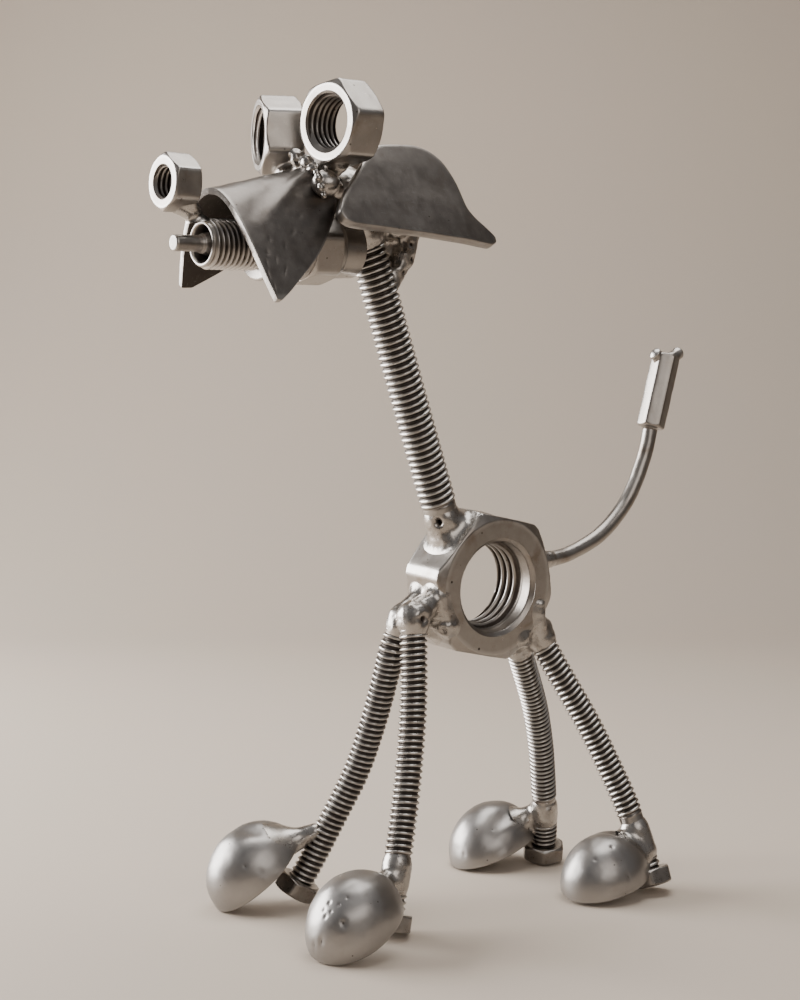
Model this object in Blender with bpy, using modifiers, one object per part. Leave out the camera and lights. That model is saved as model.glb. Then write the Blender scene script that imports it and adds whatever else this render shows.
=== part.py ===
"""Scrap metal dog: a standing figure welded from nuts, bolts, a spark plug and sheet.

The dog faces -Y, its left side is +X and +Z is up. All lengths are in metres.
The body nut's centre stays on X = 0, Y = 0 while modelling, and the whole figure is then
moved so that the middle of its bounding box stands on the origin.
"""
import math

import bmesh
import bpy
from mathutils import Matrix, Vector

MM = 0.001
GAP = 0.0003            # air left between two pieces that touch

# body nut
BODY_AF = 0.0430        # across flats
BODY_THICK = 0.0177
BODY_BORE = 0.0252      # thread crest diameter
BODY_SINK = 0.0310      # countersink diameter on the faces
BODY_PITCH = 0.0031
BODY_Z = 0.0995         # height of the nut's axis
BODY_FACE = 0.00825     # the near face, out from the middle plane
BODY_TURN = 12.4        # degrees the front corner is raised
BODY_ROLL = 3.5         # degrees the far face is raised

# threaded rods: legs are bolts, the neck is a stud
LEG_D = 0.0085
LEG_PITCH = 0.00184
NECK_D = 0.0113
NECK_PITCH = 0.0020
THREAD_DEPTH = 0.13     # ridge height over rod diameter
ROD_SIDES = 6
HIP_PLAIN = 0.0130      # shank inside the welds at the body, without ridges
HEEL_PLAIN = (0.0085, 0.0200)  # collar at the foot, up from the head's end
HEAD_AF = 0.0130        # bolt heads under the feet
HEAD_HIGH = 0.0053

# half-egg feet
FOOT_LONG = 0.0332
FOOT_WIDE = 0.0263
FOOT_HIGH = 0.0150
FOOT_WALL = 0.0020

# tail
TAIL_D = 0.0049
TAIL_PATH = ((0.0, 0.0), (6.6, 0.3), (14.9, 1.6), (25.6, 5.5), (32.8, 10.0), (40.0, 16.9), (45.0, 24.7),
             (48.7, 32.7), (51.0, 40.9))
SLEEVE_AF = 0.0084
SLEEVE_LONG = 0.0250

# head
PLUG_Z = 0.2015         # height of the spark plug's axis
PLUG_FRONT = -0.1022    # front end of its thread
PLUG_THREAD_D = 0.0142
PLUG_THREAD_LONG = 0.0185
PLUG_HEX_AF = 0.0196
PLUG_HEX_LONG = 0.0095
PIN_D = 0.0046
PLATE_THICK = 0.0018    # muzzle plate
PLATE_HALF = 0.0230     # from the ridge to a flap's tip, sideways
PLATE_FRONT = 0.0024    # the ridge's front and rear ends, behind the plug's front end
PLATE_REAR = 0.0447
PLATE_RIDGE = 0.0143    # the ridge over the plug's axis in front, and its rise to the eyes
PLATE_RISE = 0.0085
PLATE_TIP_LEFT = -0.0169
PLATE_TIP_RIGHT = -0.0115
NOSE_AF = 0.0145
NOSE_THICK = 0.0084
NOSE_BORE = 0.0080
EYE_AF = 0.0222
EYE_RIGHT_AF = 0.0208
EYE_THICK = 0.0118
EYE_BORE = 0.0144
EYE_SINK = 0.0174
EAR_THICK = 0.0030

PARTS = "scrap_metal_dog"
GUIDES = "guides_and_cutters"

LEGS = {
    "front_left": {
        "hip": ((4.6, -13.8, 10.0), (5.6, -26.3, 13.5)),
        "path": ((7.5, -32.9, 67.5), (9.5, -36.0, 50.0),
                 (11.8, -40.3, 33.0), (14.2, -45.0, 18.0), (15.8, -49.0, 1.7)),
        "pitch": 1.00},
    "front_right": {
        "hip": ((-3.6, -18.9, 7.9), (-5.4, -29.8, 13.8)),
        "path": ((-8.0, -31.1, 73.5), (-12.6, -32.6, 58.1),
                 (-17.4, -35.5, 42.3), (-22.5, -40.9, 27.1), (-27.2, -46.6, 12.4), (-30.2, -50.9, 3.4)),
        "pitch": 1.00},
    "rear_left": {
        "hip": ((3.8, -141.3, 4.9), (5.2, -135.9, 10.0)),
        "path": ((8.8, 27.5, 66.7), (13.0, 33.6, 53.8),
                 (17.2, 38.6, 40.6), (21.6, 42.7, 27.5), (26.4, 46.0, 11.8), (29.4, 46.8, 2.2)),
        "pitch": 1.00},
    "rear_right": {
        "hip": ((-2.8, -131.5, 5.1), (-4.0, -128.6, 11.2)),
        "path": ((-7.9, 29.6, 57.6), (-11.3, 35.7, 42.8),
                 (-14.7, 40.2, 28.0), (-18.0, 43.9, 13.0), (-20.3, 45.2, 1.4)),
        "pitch": 0.84},
}

# where each foot stands: middle of its rim, yaw, heel lift and roll in degrees, lift off the floor
FEET = {
    "front_left": ((21.4, -65.5), 15.0, 29.0, -5.0, 0.0),
    "front_right": ((-35.9, -60.6), -7.0, 39.0, 2.0, 0.0),
    "rear_left": ((22.4, 33.4), 11.0, 14.0, -1.0, 0.7),
    "rear_right": ((-29.6, 31.2), 5.0, 17.0, 7.0, 0.0),
}


def mm(*values):
    """Millimetres to a vector in metres."""
    return Vector([v * MM for v in values])


def on_body(x, angle, out):
    """A place out from the body nut's flats; the angle is taken from the front, upwards."""
    reach = BODY_AF / 2 + out * MM
    turn = math.radians(angle)
    return Vector((x * MM, -math.cos(turn) * reach, BODY_Z + math.sin(turn) * reach))


def on_head(x, back, up):
    """A place sideways, behind the plug's front end and above its axis."""
    return Vector((x * MM, PLUG_FRONT + back * MM, PLUG_Z + up * MM))


def leg_points(key):
    """The middle line of a leg, from where it meets the body nut down to its head."""
    spec = LEGS[key]
    return [on_body(*p) for p in spec["hip"]] + [mm(*p) for p in spec["path"]]


def clear_scene():
    for obj in list(bpy.data.objects):
        bpy.data.objects.remove(obj, do_unlink=True)
    for name in (PARTS, GUIDES):
        if name not in bpy.data.collections:
            bpy.context.scene.collection.children.link(bpy.data.collections.new(name))


def material(name, colour, rough, metal=1.0):
    mat = bpy.data.materials.new(name)
    mat.use_nodes = True
    shader = mat.node_tree.nodes["Principled BSDF"]
    shader.inputs["Base Color"].default_value = (*colour, 1.0)
    shader.inputs["Roughness"].default_value = rough
    shader.inputs["Metallic"].default_value = metal
    mat.diffuse_color = (*colour, 1.0)
    return mat


def add(name, mesh, guide=False):
    """Link a mesh or curve as an object, as a part or as a guide that is left out."""
    obj = bpy.data.objects.new(name, mesh)
    bpy.data.collections[GUIDES if guide else PARTS].objects.link(obj)
    if guide:
        obj.hide_render = True
        obj.display_type = "WIRE"
    return obj


def mesh_of(bm, name):
    mesh = bpy.data.meshes.new(name)
    bmesh.ops.recalc_face_normals(bm, faces=bm.faces)
    bm.to_mesh(mesh)
    bm.free()
    return mesh


def baked(obj, name, guide=True):
    """The evaluated shape of an object as a plain mesh object; the source is removed."""
    bpy.context.view_layer.update()
    graph = bpy.context.evaluated_depsgraph_get()
    mesh = bpy.data.meshes.new_from_object(obj.evaluated_get(graph))
    matrix = obj.matrix_world.copy()
    bpy.data.objects.remove(obj, do_unlink=True)
    bm = bmesh.new()
    bm.from_mesh(mesh)
    bmesh.ops.remove_doubles(bm, verts=bm.verts, dist=1e-6)
    bm.to_mesh(mesh)
    bm.free()
    mesh.name = name
    mesh.transform(matrix)
    return add(name, mesh, guide)


def boolean(target, other, operation):
    mod = target.modifiers.new(operation.lower(), "BOOLEAN")
    mod.operation = operation
    mod.solver = "EXACT"
    mod.object = other


def combine(name, base, joined=(), cut=(), guide=True):
    """Union and then subtract other solids from a base solid, and bake the result."""
    for other in joined:
        boolean(base, other, "UNION")
    for other in cut:
        boolean(base, other, "DIFFERENCE")
    return baked(base, name, guide)


def turned(name, profile, steps, matrix=None):
    """A solid of revolution about Z from (radius, height) pairs that run top to bottom."""
    mesh = bpy.data.meshes.new(name)
    verts = [(r, 0.0, z) for r, z in profile]
    mesh.from_pydata(verts, [(i, i + 1) for i in range(len(verts) - 1)], [])
    obj = add(name, mesh, guide=True)
    screw = obj.modifiers.new("turn", "SCREW")
    screw.axis = "Z"
    screw.steps = steps
    screw.render_steps = steps
    screw.use_merge_vertices = True
    screw.merge_threshold = 1e-5
    screw.use_smooth_shade = False
    if matrix is not None:
        obj.matrix_world = matrix
    return obj


def frame_from(origin, axis, spin=0.0, side=Vector((1, 0, 0))):
    """A matrix with +Z along axis and +X as near to side as it can be, then spun about axis."""
    z = Vector(axis).normalized()
    x = (side - z * side.dot(z)).normalized()
    y = z.cross(x)
    rot = Matrix((x, y, z)).transposed().to_4x4()
    return Matrix.Translation(origin) @ rot @ Matrix.Rotation(math.radians(spin), 4, "Z")


def prism(name, af, depth, matrix, sides=6):
    """A regular prism of the given width across flats, centred, with a corner on local +X."""
    bm = bmesh.new()
    bmesh.ops.create_cone(bm, cap_ends=True, segments=sides, radius1=af / 2 / math.cos(math.pi / sides),
                          radius2=af / 2 / math.cos(math.pi / sides), depth=depth)
    obj = add(name, mesh_of(bm, name), guide=True)
    turn = 0.0 if sides % 4 else 180.0 / sides
    obj.matrix_world = matrix @ Matrix.Rotation(math.radians(90.0 + turn), 4, "Z")
    return obj


def chamfered(name, af, depth, matrix, segments=24, face=0.985, angle=26.0, blunt=1.02):
    """A hexagonal blank whose corners are turned off at both faces, as on a nut."""
    corner = af / math.sqrt(3.0)
    drop = (corner * blunt - af / 2 * face) * math.tan(math.radians(angle))
    half = depth / 2
    lathe = turned(name + "_blank", [(0, half), (af / 2 * face, half), (corner * blunt, half - drop),
                                     (corner * blunt, drop - half), (af / 2 * face, -half), (0, -half)],
                   segments, matrix)
    hexagon = prism(name + "_hex", af, depth * 1.4, matrix)
    boolean(lathe, hexagon, "INTERSECT")
    done = baked(lathe, name)
    bpy.data.objects.remove(hexagon, do_unlink=True)
    return done


def thread_bore(name, crest, sink, depth, pitch, matrix, steps, plain=0.0):
    """The hole of a nut as a solid: countersinks, a plain stretch and ring-shaped thread."""
    half = depth / 2
    over = half * 1.3
    low = (sink - crest) / 2
    root = crest / 2 + pitch * 0.42
    profile = [(0, over), (sink / 2, over), (sink / 2, half - 0.0002), (root, half - low * 0.8)]
    z = half - low * 0.8 - plain
    if plain:
        profile.append((root, z))
    while z > -half + low * 0.8 + pitch:
        profile.append((crest / 2, z - pitch * 0.5))
        profile.append((root, z - pitch))
        z -= pitch
    profile += [(crest / 2, -half + low * 0.8), (sink / 2, -half + 0.0002), (sink / 2, -over), (0, -over)]
    return turned(name, profile, steps, matrix)


def catmull(points, per=8):
    """A smooth line through points, with a list of places along it."""
    pts = [2 * points[0] - points[1]] + list(points) + [2 * points[-1] - points[-2]]
    line = []
    for i in range(1, len(pts) - 2):
        a, b, c, d = pts[i - 1:i + 3]
        for k in range(per):
            t = k / per
            line.append(0.5 * (2 * b + (c - a) * t + (2 * a - 5 * b + 4 * c - d) * t ** 2
                               + (3 * b - a - 3 * c + d) * t ** 3))
    line.append(points[-1])
    return line


def length_of(line):
    return sum((b - a).length for a, b in zip(line, line[1:]))


def bend(obj, name, line):
    """Bend a straight solid that stands on Z = 0 along a line, and bake it."""
    curve = bpy.data.curves.new(name + "_guide", "CURVE")
    curve.dimensions = "3D"
    spline = curve.splines.new("POLY")
    spline.points.add(len(line) - 1)
    for point, place in zip(spline.points, line):
        point.co = (*place, 1.0)
    guide = add(name + "_guide", curve, guide=True)
    mod = obj.modifiers.new("bend", "CURVE")
    mod.object = guide
    mod.deform_axis = "POS_Z"
    done = baked(obj, name)
    bpy.data.objects.remove(guide, do_unlink=True)
    return done


def ridged_profile(length, diameter, pitch, plain=()):
    """A rod from its top down to Z = 0, with ridges except on the plain stretches."""
    crest = diameter / 2
    root = crest - diameter * THREAD_DEPTH / 2
    profile = [(0, length), (root, length)]
    z = length - pitch * 0.5
    while z > pitch * 0.8:
        if any(a <= z <= b for a, b in plain):
            if profile[-1][0] != root:
                profile.append((root, z))
        else:
            if profile[-1][0] == root and length - z > pitch and profile[-1][1] - z > pitch * 0.8:
                profile.append((root, z + pitch * 0.5))
            profile.append((crest, z))
            profile.append((root, z - pitch * 0.5))
        z -= pitch
    profile += [(root, 0), (0, 0)]
    return profile


def threaded_rod(name, line, diameter, pitch, plain=()):
    length = length_of(line)
    straight = turned(name + "_straight", ridged_profile(length, diameter, pitch, plain), ROD_SIDES)
    return bend(straight, name, line)


def plain_rod(name, line, diameter, sides=ROD_SIDES):
    length = length_of(line)
    rings = [(diameter / 2, length * (1 - i / (len(line) - 1))) for i in range(len(line))]
    return bend(turned(name + "_straight", [(0, length)] + rings + [(0, 0)], sides), name, line)


def blob(name, place, radii, turn=(0, 0, 0), rings=4, sides=7):
    """A lump of weld metal as a stretched ball."""
    bm = bmesh.new()
    bmesh.ops.create_uvsphere(bm, u_segments=sides, v_segments=rings, radius=1.0)
    rot = Matrix.Rotation(math.radians(turn[2]), 4, "Z") @ Matrix.Rotation(math.radians(turn[1]), 4, "Y") \
        @ Matrix.Rotation(math.radians(turn[0]), 4, "X")
    size = Matrix.Diagonal((*(r * MM for r in radii), 1.0))
    bmesh.ops.transform(bm, matrix=Matrix.Translation(place) @ rot @ size, verts=bm.verts)
    return add(name, mesh_of(bm, name), guide=True)


def weld(name, lumps, cutters, mat, place=on_head, sides=7):
    """Lumps run together into one body, cut back from the pieces they hold."""
    solids = [blob(f"{name}_lump{i}", place(*lump[0]), *lump[1:], sides=sides)
              for i, lump in enumerate(lumps)]
    done = combine(name, solids[0], joined=solids[1:], cut=cutters, guide=False)
    keep_largest(done)
    finish(done, mat)
    for solid in solids[1:]:
        bpy.data.objects.remove(solid, do_unlink=True)
    return done


def keep_largest(obj):
    """Drop slivers that a cut has left apart from the main body."""
    bm = bmesh.new()
    bm.from_mesh(obj.data)
    todo = set(bm.faces)
    bodies = []
    while todo:
        stack = [todo.pop()]
        body = []
        while stack:
            face = stack.pop()
            body.append(face)
            for edge in face.edges:
                for near in edge.link_faces:
                    if near in todo:
                        todo.remove(near)
                        stack.append(near)
        bodies.append(body)
    bodies.sort(key=lambda body: -sum(face.calc_area() for face in body))
    for body in bodies[1:]:
        bmesh.ops.delete(bm, geom=body, context="FACES")
    loose = [v for v in bm.verts if not v.link_faces]
    bmesh.ops.delete(bm, geom=loose, context="VERTS")
    bm.to_mesh(obj.data)
    bm.free()


def finish(obj, mat, sharp=35.0):
    obj.data.materials.clear()
    obj.data.materials.append(mat)
    obj.data.shade_smooth()
    obj.data.set_sharp_from_angle(angle=math.radians(sharp))
    return obj


def part(name, obj, mat):
    """Move a finished solid from the guides to the parts."""
    done = baked(obj, name, guide=False)
    return finish(done, mat)


def foot_matrix(spot, yaw, lift, roll):
    """Local +X runs to the heel, +Y is the left edge's side and +Z is the crown of the foot."""
    return (Matrix.Translation(mm(spot[0], spot[1], 0)) @ Matrix.Rotation(math.radians(yaw), 4, "Z")
            @ Matrix.Rotation(math.radians(90), 4, "Z") @ Matrix.Rotation(math.radians(-lift), 4, "Y")
            @ Matrix.Rotation(math.radians(-roll), 4, "X"))


def foot_shell(name, spot, yaw, lift, roll, up, cutters, mat):
    """A hollow half egg that leans on its toe, open underneath."""
    bm = bmesh.new()
    bmesh.ops.create_uvsphere(bm, u_segments=14, v_segments=8, radius=1.0)
    low = [v for v in bm.verts if v.co.z < -1e-4]
    bmesh.ops.delete(bm, geom=low, context="VERTS")
    place = foot_matrix(spot, yaw, lift, roll)
    for v in bm.verts:
        a, b, c = v.co
        valley = 0.16 * math.exp(-((a - 0.72) / 0.26) ** 2 - ((b + 0.05) / 0.42) ** 2)
        v.co = (a * FOOT_LONG / 2, b * FOOT_WIDE / 2, c * FOOT_HIGH * (1 - valley))
    mesh = mesh_of(bm, name)
    shell = add(name + "_dome", mesh, guide=True)
    shell.matrix_world = place
    bpy.context.view_layer.update()
    lowest = min((place @ v.co).z for v in mesh.vertices)
    shell.matrix_world = Matrix.Translation((0, 0, up * MM - lowest - 0.0002)) @ place
    wall = shell.modifiers.new("wall", "SOLIDIFY")
    wall.thickness = FOOT_WALL
    wall.offset = -1.0
    wall.use_even_offset = True
    done = baked(shell, name + "_shell")
    for cutter in cutters:
        boolean(done, cutter, "DIFFERENCE")
    return finish(baked(done, name, guide=False), mat)


def muzzle_plate(name, mat):
    """A bent plate draped over the plug: a ridge along the snout and a pointed flap on each side."""
    bm = bmesh.new()
    bmesh.ops.create_grid(bm, x_segments=5, y_segments=14, size=0.5)
    for v in bm.verts:
        s = v.co.x + 0.5
        side = 1.0 if v.co.y > 0 else -1.0
        t = abs(v.co.y) * 2.0
        tip = PLATE_TIP_LEFT if side > 0 else PLATE_TIP_RIGHT
        front = PLATE_FRONT + 0.0030 * t + 0.0042 * t ** 3
        rear = PLATE_REAR - 0.0180 * t - 0.0170 * t ** 3
        y = front + (rear - front) * s
        ridge = PLATE_RIDGE + PLATE_RISE * min(1.0, (y - PLATE_FRONT) / 0.036)
        u = 1 - t
        x = 3 * u * u * t * 0.0100 + 3 * u * t * t * 0.0145 + t ** 3 * PLATE_HALF
        z = u ** 3 * ridge + 3 * u * u * t * (ridge - 0.0004) + 3 * u * t * t * 0.0025 + t ** 3 * tip
        v.co = (side * x, PLUG_FRONT + y, PLUG_Z + z)
    bmesh.ops.remove_doubles(bm, verts=bm.verts, dist=0.00005)
    bmesh.ops.recalc_face_normals(bm, faces=bm.faces)
    mesh = bpy.data.meshes.new(name)
    bm.to_mesh(mesh)
    bm.free()
    plate = add(name + "_sheet", mesh, guide=True)
    wall = plate.modifiers.new("wall", "SOLIDIFY")
    wall.thickness = PLATE_THICK
    wall.offset = 0.0
    return finish(baked(plate, name, guide=False), mat)


def ear_outline():
    """The left ear's outline in its own plane: along the head and up the slope, in millimetres."""
    return ((-0.9, 4.1), (0.2, 1.6), (2.6, 0.6), (26.0, 0.4), (45.0, 0.3), (53.6, 0.1), (56.0, 1.3),
            (56.2, 2.9), (53.2, 5.8), (50.2, 8.4), (48.0, 11.7), (46.4, 20.2), (43.4, 27.0), (39.6, 30.0),
            (34.6, 31.1), (26.7, 30.3), (20.4, 29.1), (16.8, 26.7), (12.0, 21.7), (6.6, 15.2), (1.7, 9.1))


def ear(name, side, cutters, mat):
    """A flat plate with a rounded front corner and a swept tip, hung like a roof slope."""
    curve = bpy.data.curves.new(name, "CURVE")
    curve.dimensions = "2D"
    curve.fill_mode = "BOTH"
    curve.extrude = EAR_THICK / 2
    spline = curve.splines.new("POLY")
    outline = ear_outline()
    spline.points.add(len(outline) - 1)
    for point, (u, v) in zip(spline.points, outline):
        point.co = (u * MM, v * MM, 0.0, 1.0)
    spline.use_cyclic_u = True
    plate = add(name + "_flat", curve, guide=True)
    along = Vector((0, 1, -0.075)).normalized()
    slope = Vector((-0.48, 0, 0.876)).normalized()
    out = along.cross(slope).normalized()
    slope = out.cross(along)
    matrix = Matrix((along, slope, out)).transposed().to_4x4()
    corner = on_head(24.0, 32.2, 5.5) - out * EAR_THICK / 2
    plate.matrix_world = Matrix.Translation(corner) @ matrix
    done = baked(plate, name + "_plate")
    if side < 0:
        done.data.transform(Matrix.Diagonal((-1, 1, 1, 1)))
        done.data.flip_normals()
    return finish(combine(name, done, cut=cutters, guide=False), mat, 30.0)


def build():
    steel = material("bare_steel", (0.42, 0.40, 0.38), 0.34)
    thread = material("threaded_steel", (0.36, 0.33, 0.31), 0.32)
    cast = material("cast_steel", (0.36, 0.35, 0.34), 0.38)
    sheet = material("heated_sheet", (0.27, 0.25, 0.235), 0.36)
    bead = material("weld_metal", (0.44, 0.40, 0.36), 0.24)
    insulator = material("core_metal", (0.34, 0.32, 0.30), 0.34)

    body_at = Vector((BODY_FACE - BODY_THICK / 2, 0, BODY_Z))
    # the front corner of the body nut points to -Y and is raised by BODY_TURN
    roll = math.radians(BODY_ROLL)
    body_frame = frame_from(body_at, (math.cos(roll), 0, -math.sin(roll)), side=Vector(
        (0, -math.cos(math.radians(BODY_TURN)), math.sin(math.radians(BODY_TURN)))))
    blank = chamfered("body_blank", BODY_AF, BODY_THICK, body_frame, segments=24, blunt=0.97)
    bore = thread_bore("body_bore", BODY_BORE, BODY_SINK, BODY_THICK, BODY_PITCH, body_frame, 18,
                       plain=0.0030)
    nut = combine("body_cut", blank, cut=[bore])
    part("body_nut", nut, steel)
    body_clear = prism("body_clear", BODY_AF + 2 * GAP, BODY_THICK + 2 * GAP, body_frame)

    # legs: a threaded shank bent along its path, run into a hexagonal bolt head
    leg_clear = {}
    for key, spec in LEGS.items():
        points = leg_points(key)
        line = catmull(points)
        down = (points[-1] - points[-2]).normalized()
        line = [p for p in line if (p - points[-1]).length > HEAD_HIGH * 0.8]
        line.append(points[-1] - down * (HEAD_HIGH * 0.5))
        length = length_of(line)
        shank = threaded_rod(f"leg_{key}_shank", line[::-1], LEG_D, LEG_PITCH * spec["pitch"],
                             plain=((length - HIP_PLAIN, length), HEEL_PLAIN))
        head_frame = frame_from(points[-1] - down * HEAD_HIGH / 2, down, spin=10.0)
        head = chamfered(f"leg_{key}_head", HEAD_AF, HEAD_HIGH, head_frame, segments=12)
        leg = combine(f"leg_{key}_joined", head, joined=[shank])
        bpy.data.objects.remove(shank, do_unlink=True)
        part(f"leg_{key}", leg, thread)
        clear_line = [points[0] - (line[1] - line[0]).normalized() * 0.001] + line[5:-3:5] + line[-1:]
        round_leg = (LEG_D + 2 * GAP) / math.cos(math.pi / 8) + GAP
        leg_clear[key] = [
            plain_rod(f"leg_{key}_clear", clear_line[::-1], round_leg, 8),
            prism(f"leg_{key}_head_clear", HEAD_AF + 2 * GAP, HEAD_HIGH + 2 * GAP, head_frame)]

    # neck stud
    foot_end = on_body(0, 54.8, 6.8)
    head_end = on_head(0, 56.3, 5.0)
    neck_line = [foot_end, foot_end.lerp(head_end, 0.47) + mm(0, -0.2, 0.0), head_end]
    neck = threaded_rod("neck_solid", catmull(neck_line, 6), NECK_D, NECK_PITCH,
                        plain=((0.0, 0.005), (0.084, 0.2)))
    part("neck_rod", neck, thread)
    clear_line = [foot_end + mm(0, 0.6, -1.8), neck_line[1], head_end + mm(0, -0.5, 1.5)]
    neck_clear = plain_rod("neck_clear", clear_line, (NECK_D + 2 * GAP) / math.cos(math.pi / 8), 8)

    # tail rod and its sleeve
    root = on_body(0, 166.7, 2.0)
    tail_points = [root + mm(0, y, z) for y, z in TAIL_PATH]
    end = tail_points[-1]
    part("tail_rod", plain_rod("tail_solid", catmull(tail_points, 1)[::-1], TAIL_D, 8), steel)
    round_tail = (TAIL_D + 2 * GAP) / math.cos(math.pi / 8)
    tail_clear = plain_rod("tail_clear", ([root - mm(0, 0.5, 0)] + tail_points[1:])[::-1], round_tail, 8)
    lean = mm(0, 8.0, 26.1).normalized()
    low = end + mm(0, 0, 0.4)
    sleeve_frame = frame_from(low + lean * SLEEVE_LONG / 2, lean, spin=20.0)
    sleeve = prism("sleeve_hex", SLEEVE_AF, SLEEVE_LONG, sleeve_frame)
    horns = prism("sleeve_horns", 0.0062, 0.0128, frame_from(
        low + lean * (SLEEVE_LONG + 0.0006), (0, 1, -0.30), spin=0.0), sides=8)
    saddle = prism("sleeve_saddle", 0.0052, 0.020, frame_from(
        low + lean * (SLEEVE_LONG + 0.0048), (1, 0, 0)), sides=10)
    tip = combine("tail_tip_solid", sleeve, joined=[horns], cut=[saddle])
    part("tail_tip", tip, steel)

    # spark plug: thread, seat, hexagon and rear shell, with its core and side prong
    plug_frame = frame_from(Vector((0, PLUG_FRONT, PLUG_Z)), (0, -1, 0))
    crest = PLUG_THREAD_D / 2
    profile = [(0, -0.0060), (0.0044, -0.0060), (0.0053, 0.0), (crest - 0.0009, 0.0)]
    z = -0.0006
    while z > -PLUG_THREAD_LONG + 0.0030:
        profile += [(crest, z - 0.0004), (crest - 0.0009, z - 0.0012)]
        z -= 0.00165
    seat = -PLUG_THREAD_LONG
    hex_start = -0.0330
    profile += [(crest - 0.0009, seat), (0.0094, seat), (0.0100, seat - 0.0010), (0.0092, seat - 0.0026),
                (0.0095, seat - 0.0036), (0.0095, hex_start - 0.001)]
    profile += [(0.0095, hex_start - PLUG_HEX_LONG), (0.0088, hex_start - PLUG_HEX_LONG - 0.0014),
                (0.0084, -0.0515), (0, -0.0515)]
    shell = turned("plug_turned", profile, 12, plug_frame)
    shell = baked(shell, "plug_body")
    hexagon = chamfered("plug_hex", PLUG_HEX_AF, PLUG_HEX_LONG, plug_frame
                        @ Matrix.Translation((0, 0, hex_start - PLUG_HEX_LONG / 2))
                        @ Matrix.Rotation(math.radians(-15), 4, "Z"), segments=18)
    plug = combine("plug_solid", shell, joined=[hexagon])
    part("spark_plug_shell", plug, steel)
    core = turned("core", [(0, 0.0090), (PIN_D / 2 - 0.0004, 0.0090), (PIN_D / 2, 0.0084), (PIN_D / 2, 0.0),
                           (0.0034, -0.0014), (0.0040, -0.0056), (0, -0.0056)], 10, plug_frame)
    part("spark_plug_core", core, insulator)
    plug_clear = turned("plug_clear", [(0, 0.0004), (crest + GAP, 0.0004), (crest + GAP, seat + GAP),
                                       (0.0100 + GAP, seat + GAP), (0.0113 + GAP, hex_start),
                                       (0.0113 + GAP, hex_start - PLUG_HEX_LONG - GAP),
                                       (0.0089 + GAP, hex_start - PLUG_HEX_LONG - 0.002),
                                       (0.0085 + GAP, -0.0518), (0, -0.0518)], 12, plug_frame)

    muzzle_plate("muzzle_plate", sheet)
    part_nuts(steel)
    eye_clear = [prism(f"eye_clear_{i}", EYE_AF + 2 * GAP, EYE_THICK + 2 * GAP, place)
                 for i, place in enumerate(eye_frames())]
    ear("ear_left", 1, eye_clear, sheet)
    ear("ear_right", -1, eye_clear, sheet)

    # feet
    for key, (spot, yaw, lift, roll, up) in FEET.items():
        foot_shell(f"foot_{key}", spot, yaw, lift, roll, up, leg_clear[key], cast)

    # welds
    weld("weld_neck_body", [((0, 49.0, 3.8), (7.2, 6.2, 6.2), (28, 0, 0)),
                            ((2.6, 63.7, 3.4), (4.6, 4.4, 3.2)), ((-3.0, 60.3, 3.7), (4.0, 4.8, 3.4)),
                            ((3.2, 33.1, 4.3), (4.4, 3.4, 5.0))],
         [body_clear, neck_clear], bead, on_body, sides=6)
    weld("weld_front_legs", [((0, -17.7, 6.4), (8.2, 7.0, 7.2)), ((4.6, -2.6, 2.5), (4.6, 4.0, 4.8)),
                             ((-3.6, -5.7, 3.6), (4.8, 4.2, 4.6)), ((5.4, -29.3, 10.2), (4.8, 5.0, 5.4)),
                             ((-4.6, -29.2, 9.9), (4.6, 4.8, 5.0)), ((0, -30.3, 3.3), (6.4, 5.0, 6.0))],
         [body_clear] + leg_clear["front_left"] + leg_clear["front_right"], bead, on_body, sides=6)
    weld("weld_rear_legs", [((0.6, -136.4, 4.5), (8.0, 5.6, 5.4)), ((4.4, -146.9, 4.3), (4.6, 4.4, 5.6)),
                            ((4.0, -130.0, 5.5), (4.4, 4.2, 4.4)), ((-3.4, -124.7, 4.2), (4.4, 4.4, 4.2))],
         [body_clear] + leg_clear["rear_left"] + leg_clear["rear_right"], bead, on_body, sides=6)
    weld("weld_tail", [((0, 167.4, 1.9), (4.6, 3.4, 4.2)), ((0, 169.3, 3.7), (3.6, 3.6, 3.0))],
         [body_clear, tail_clear], bead, on_body, sides=6)
    foot_welds(leg_clear, bead)
    head_welds(neck_clear, plug_clear, bead)

    for obj in list(bpy.data.collections[GUIDES].objects):
        bpy.data.objects.remove(obj, do_unlink=True)
    stand_on_origin()


def nut(name, af, thick, crest, sink, pitch, frame, mat, steps=10, segments=12):
    blank = chamfered(name + "_blank", af, thick, frame, segments=segments, face=0.97)
    bore = thread_bore(name + "_bore", crest, sink, thick, pitch, frame, steps)
    done = combine(name + "_cut", blank, cut=[bore])
    bpy.data.objects.remove(bore, do_unlink=True)
    return part(name, done, mat)


def eye_frames():
    """Frames of the two eye nuts, each with +Z out of its front face."""
    frames = []
    for place, azimuth, spin in ((on_head(12.6, 39.1, 34.4), 6.7, -20.0),
                                 (on_head(-13.4, 35.4, 32.7), -22.0, 3.0)):
        turn = math.radians(azimuth)
        frames.append(frame_from(place, (math.sin(turn), -math.cos(turn), 0), spin))
    return frames


def nose_frame():
    return frame_from(on_head(0, -8.0, 16.3), (0, -1, 0.02), spin=-5.0)


def part_nuts(mat):
    left, right = eye_frames()
    nut("eye_nut_left", EYE_AF, EYE_THICK, EYE_BORE, EYE_SINK, 0.0021, left, mat)
    nut("eye_nut_right", EYE_RIGHT_AF, EYE_THICK, EYE_BORE, EYE_SINK, 0.0021, right, mat)
    nut("nose_nut", NOSE_AF, NOSE_THICK, NOSE_BORE, NOSE_BORE + 0.0018, 0.0018, nose_frame(), mat, 8, 12)


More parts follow.
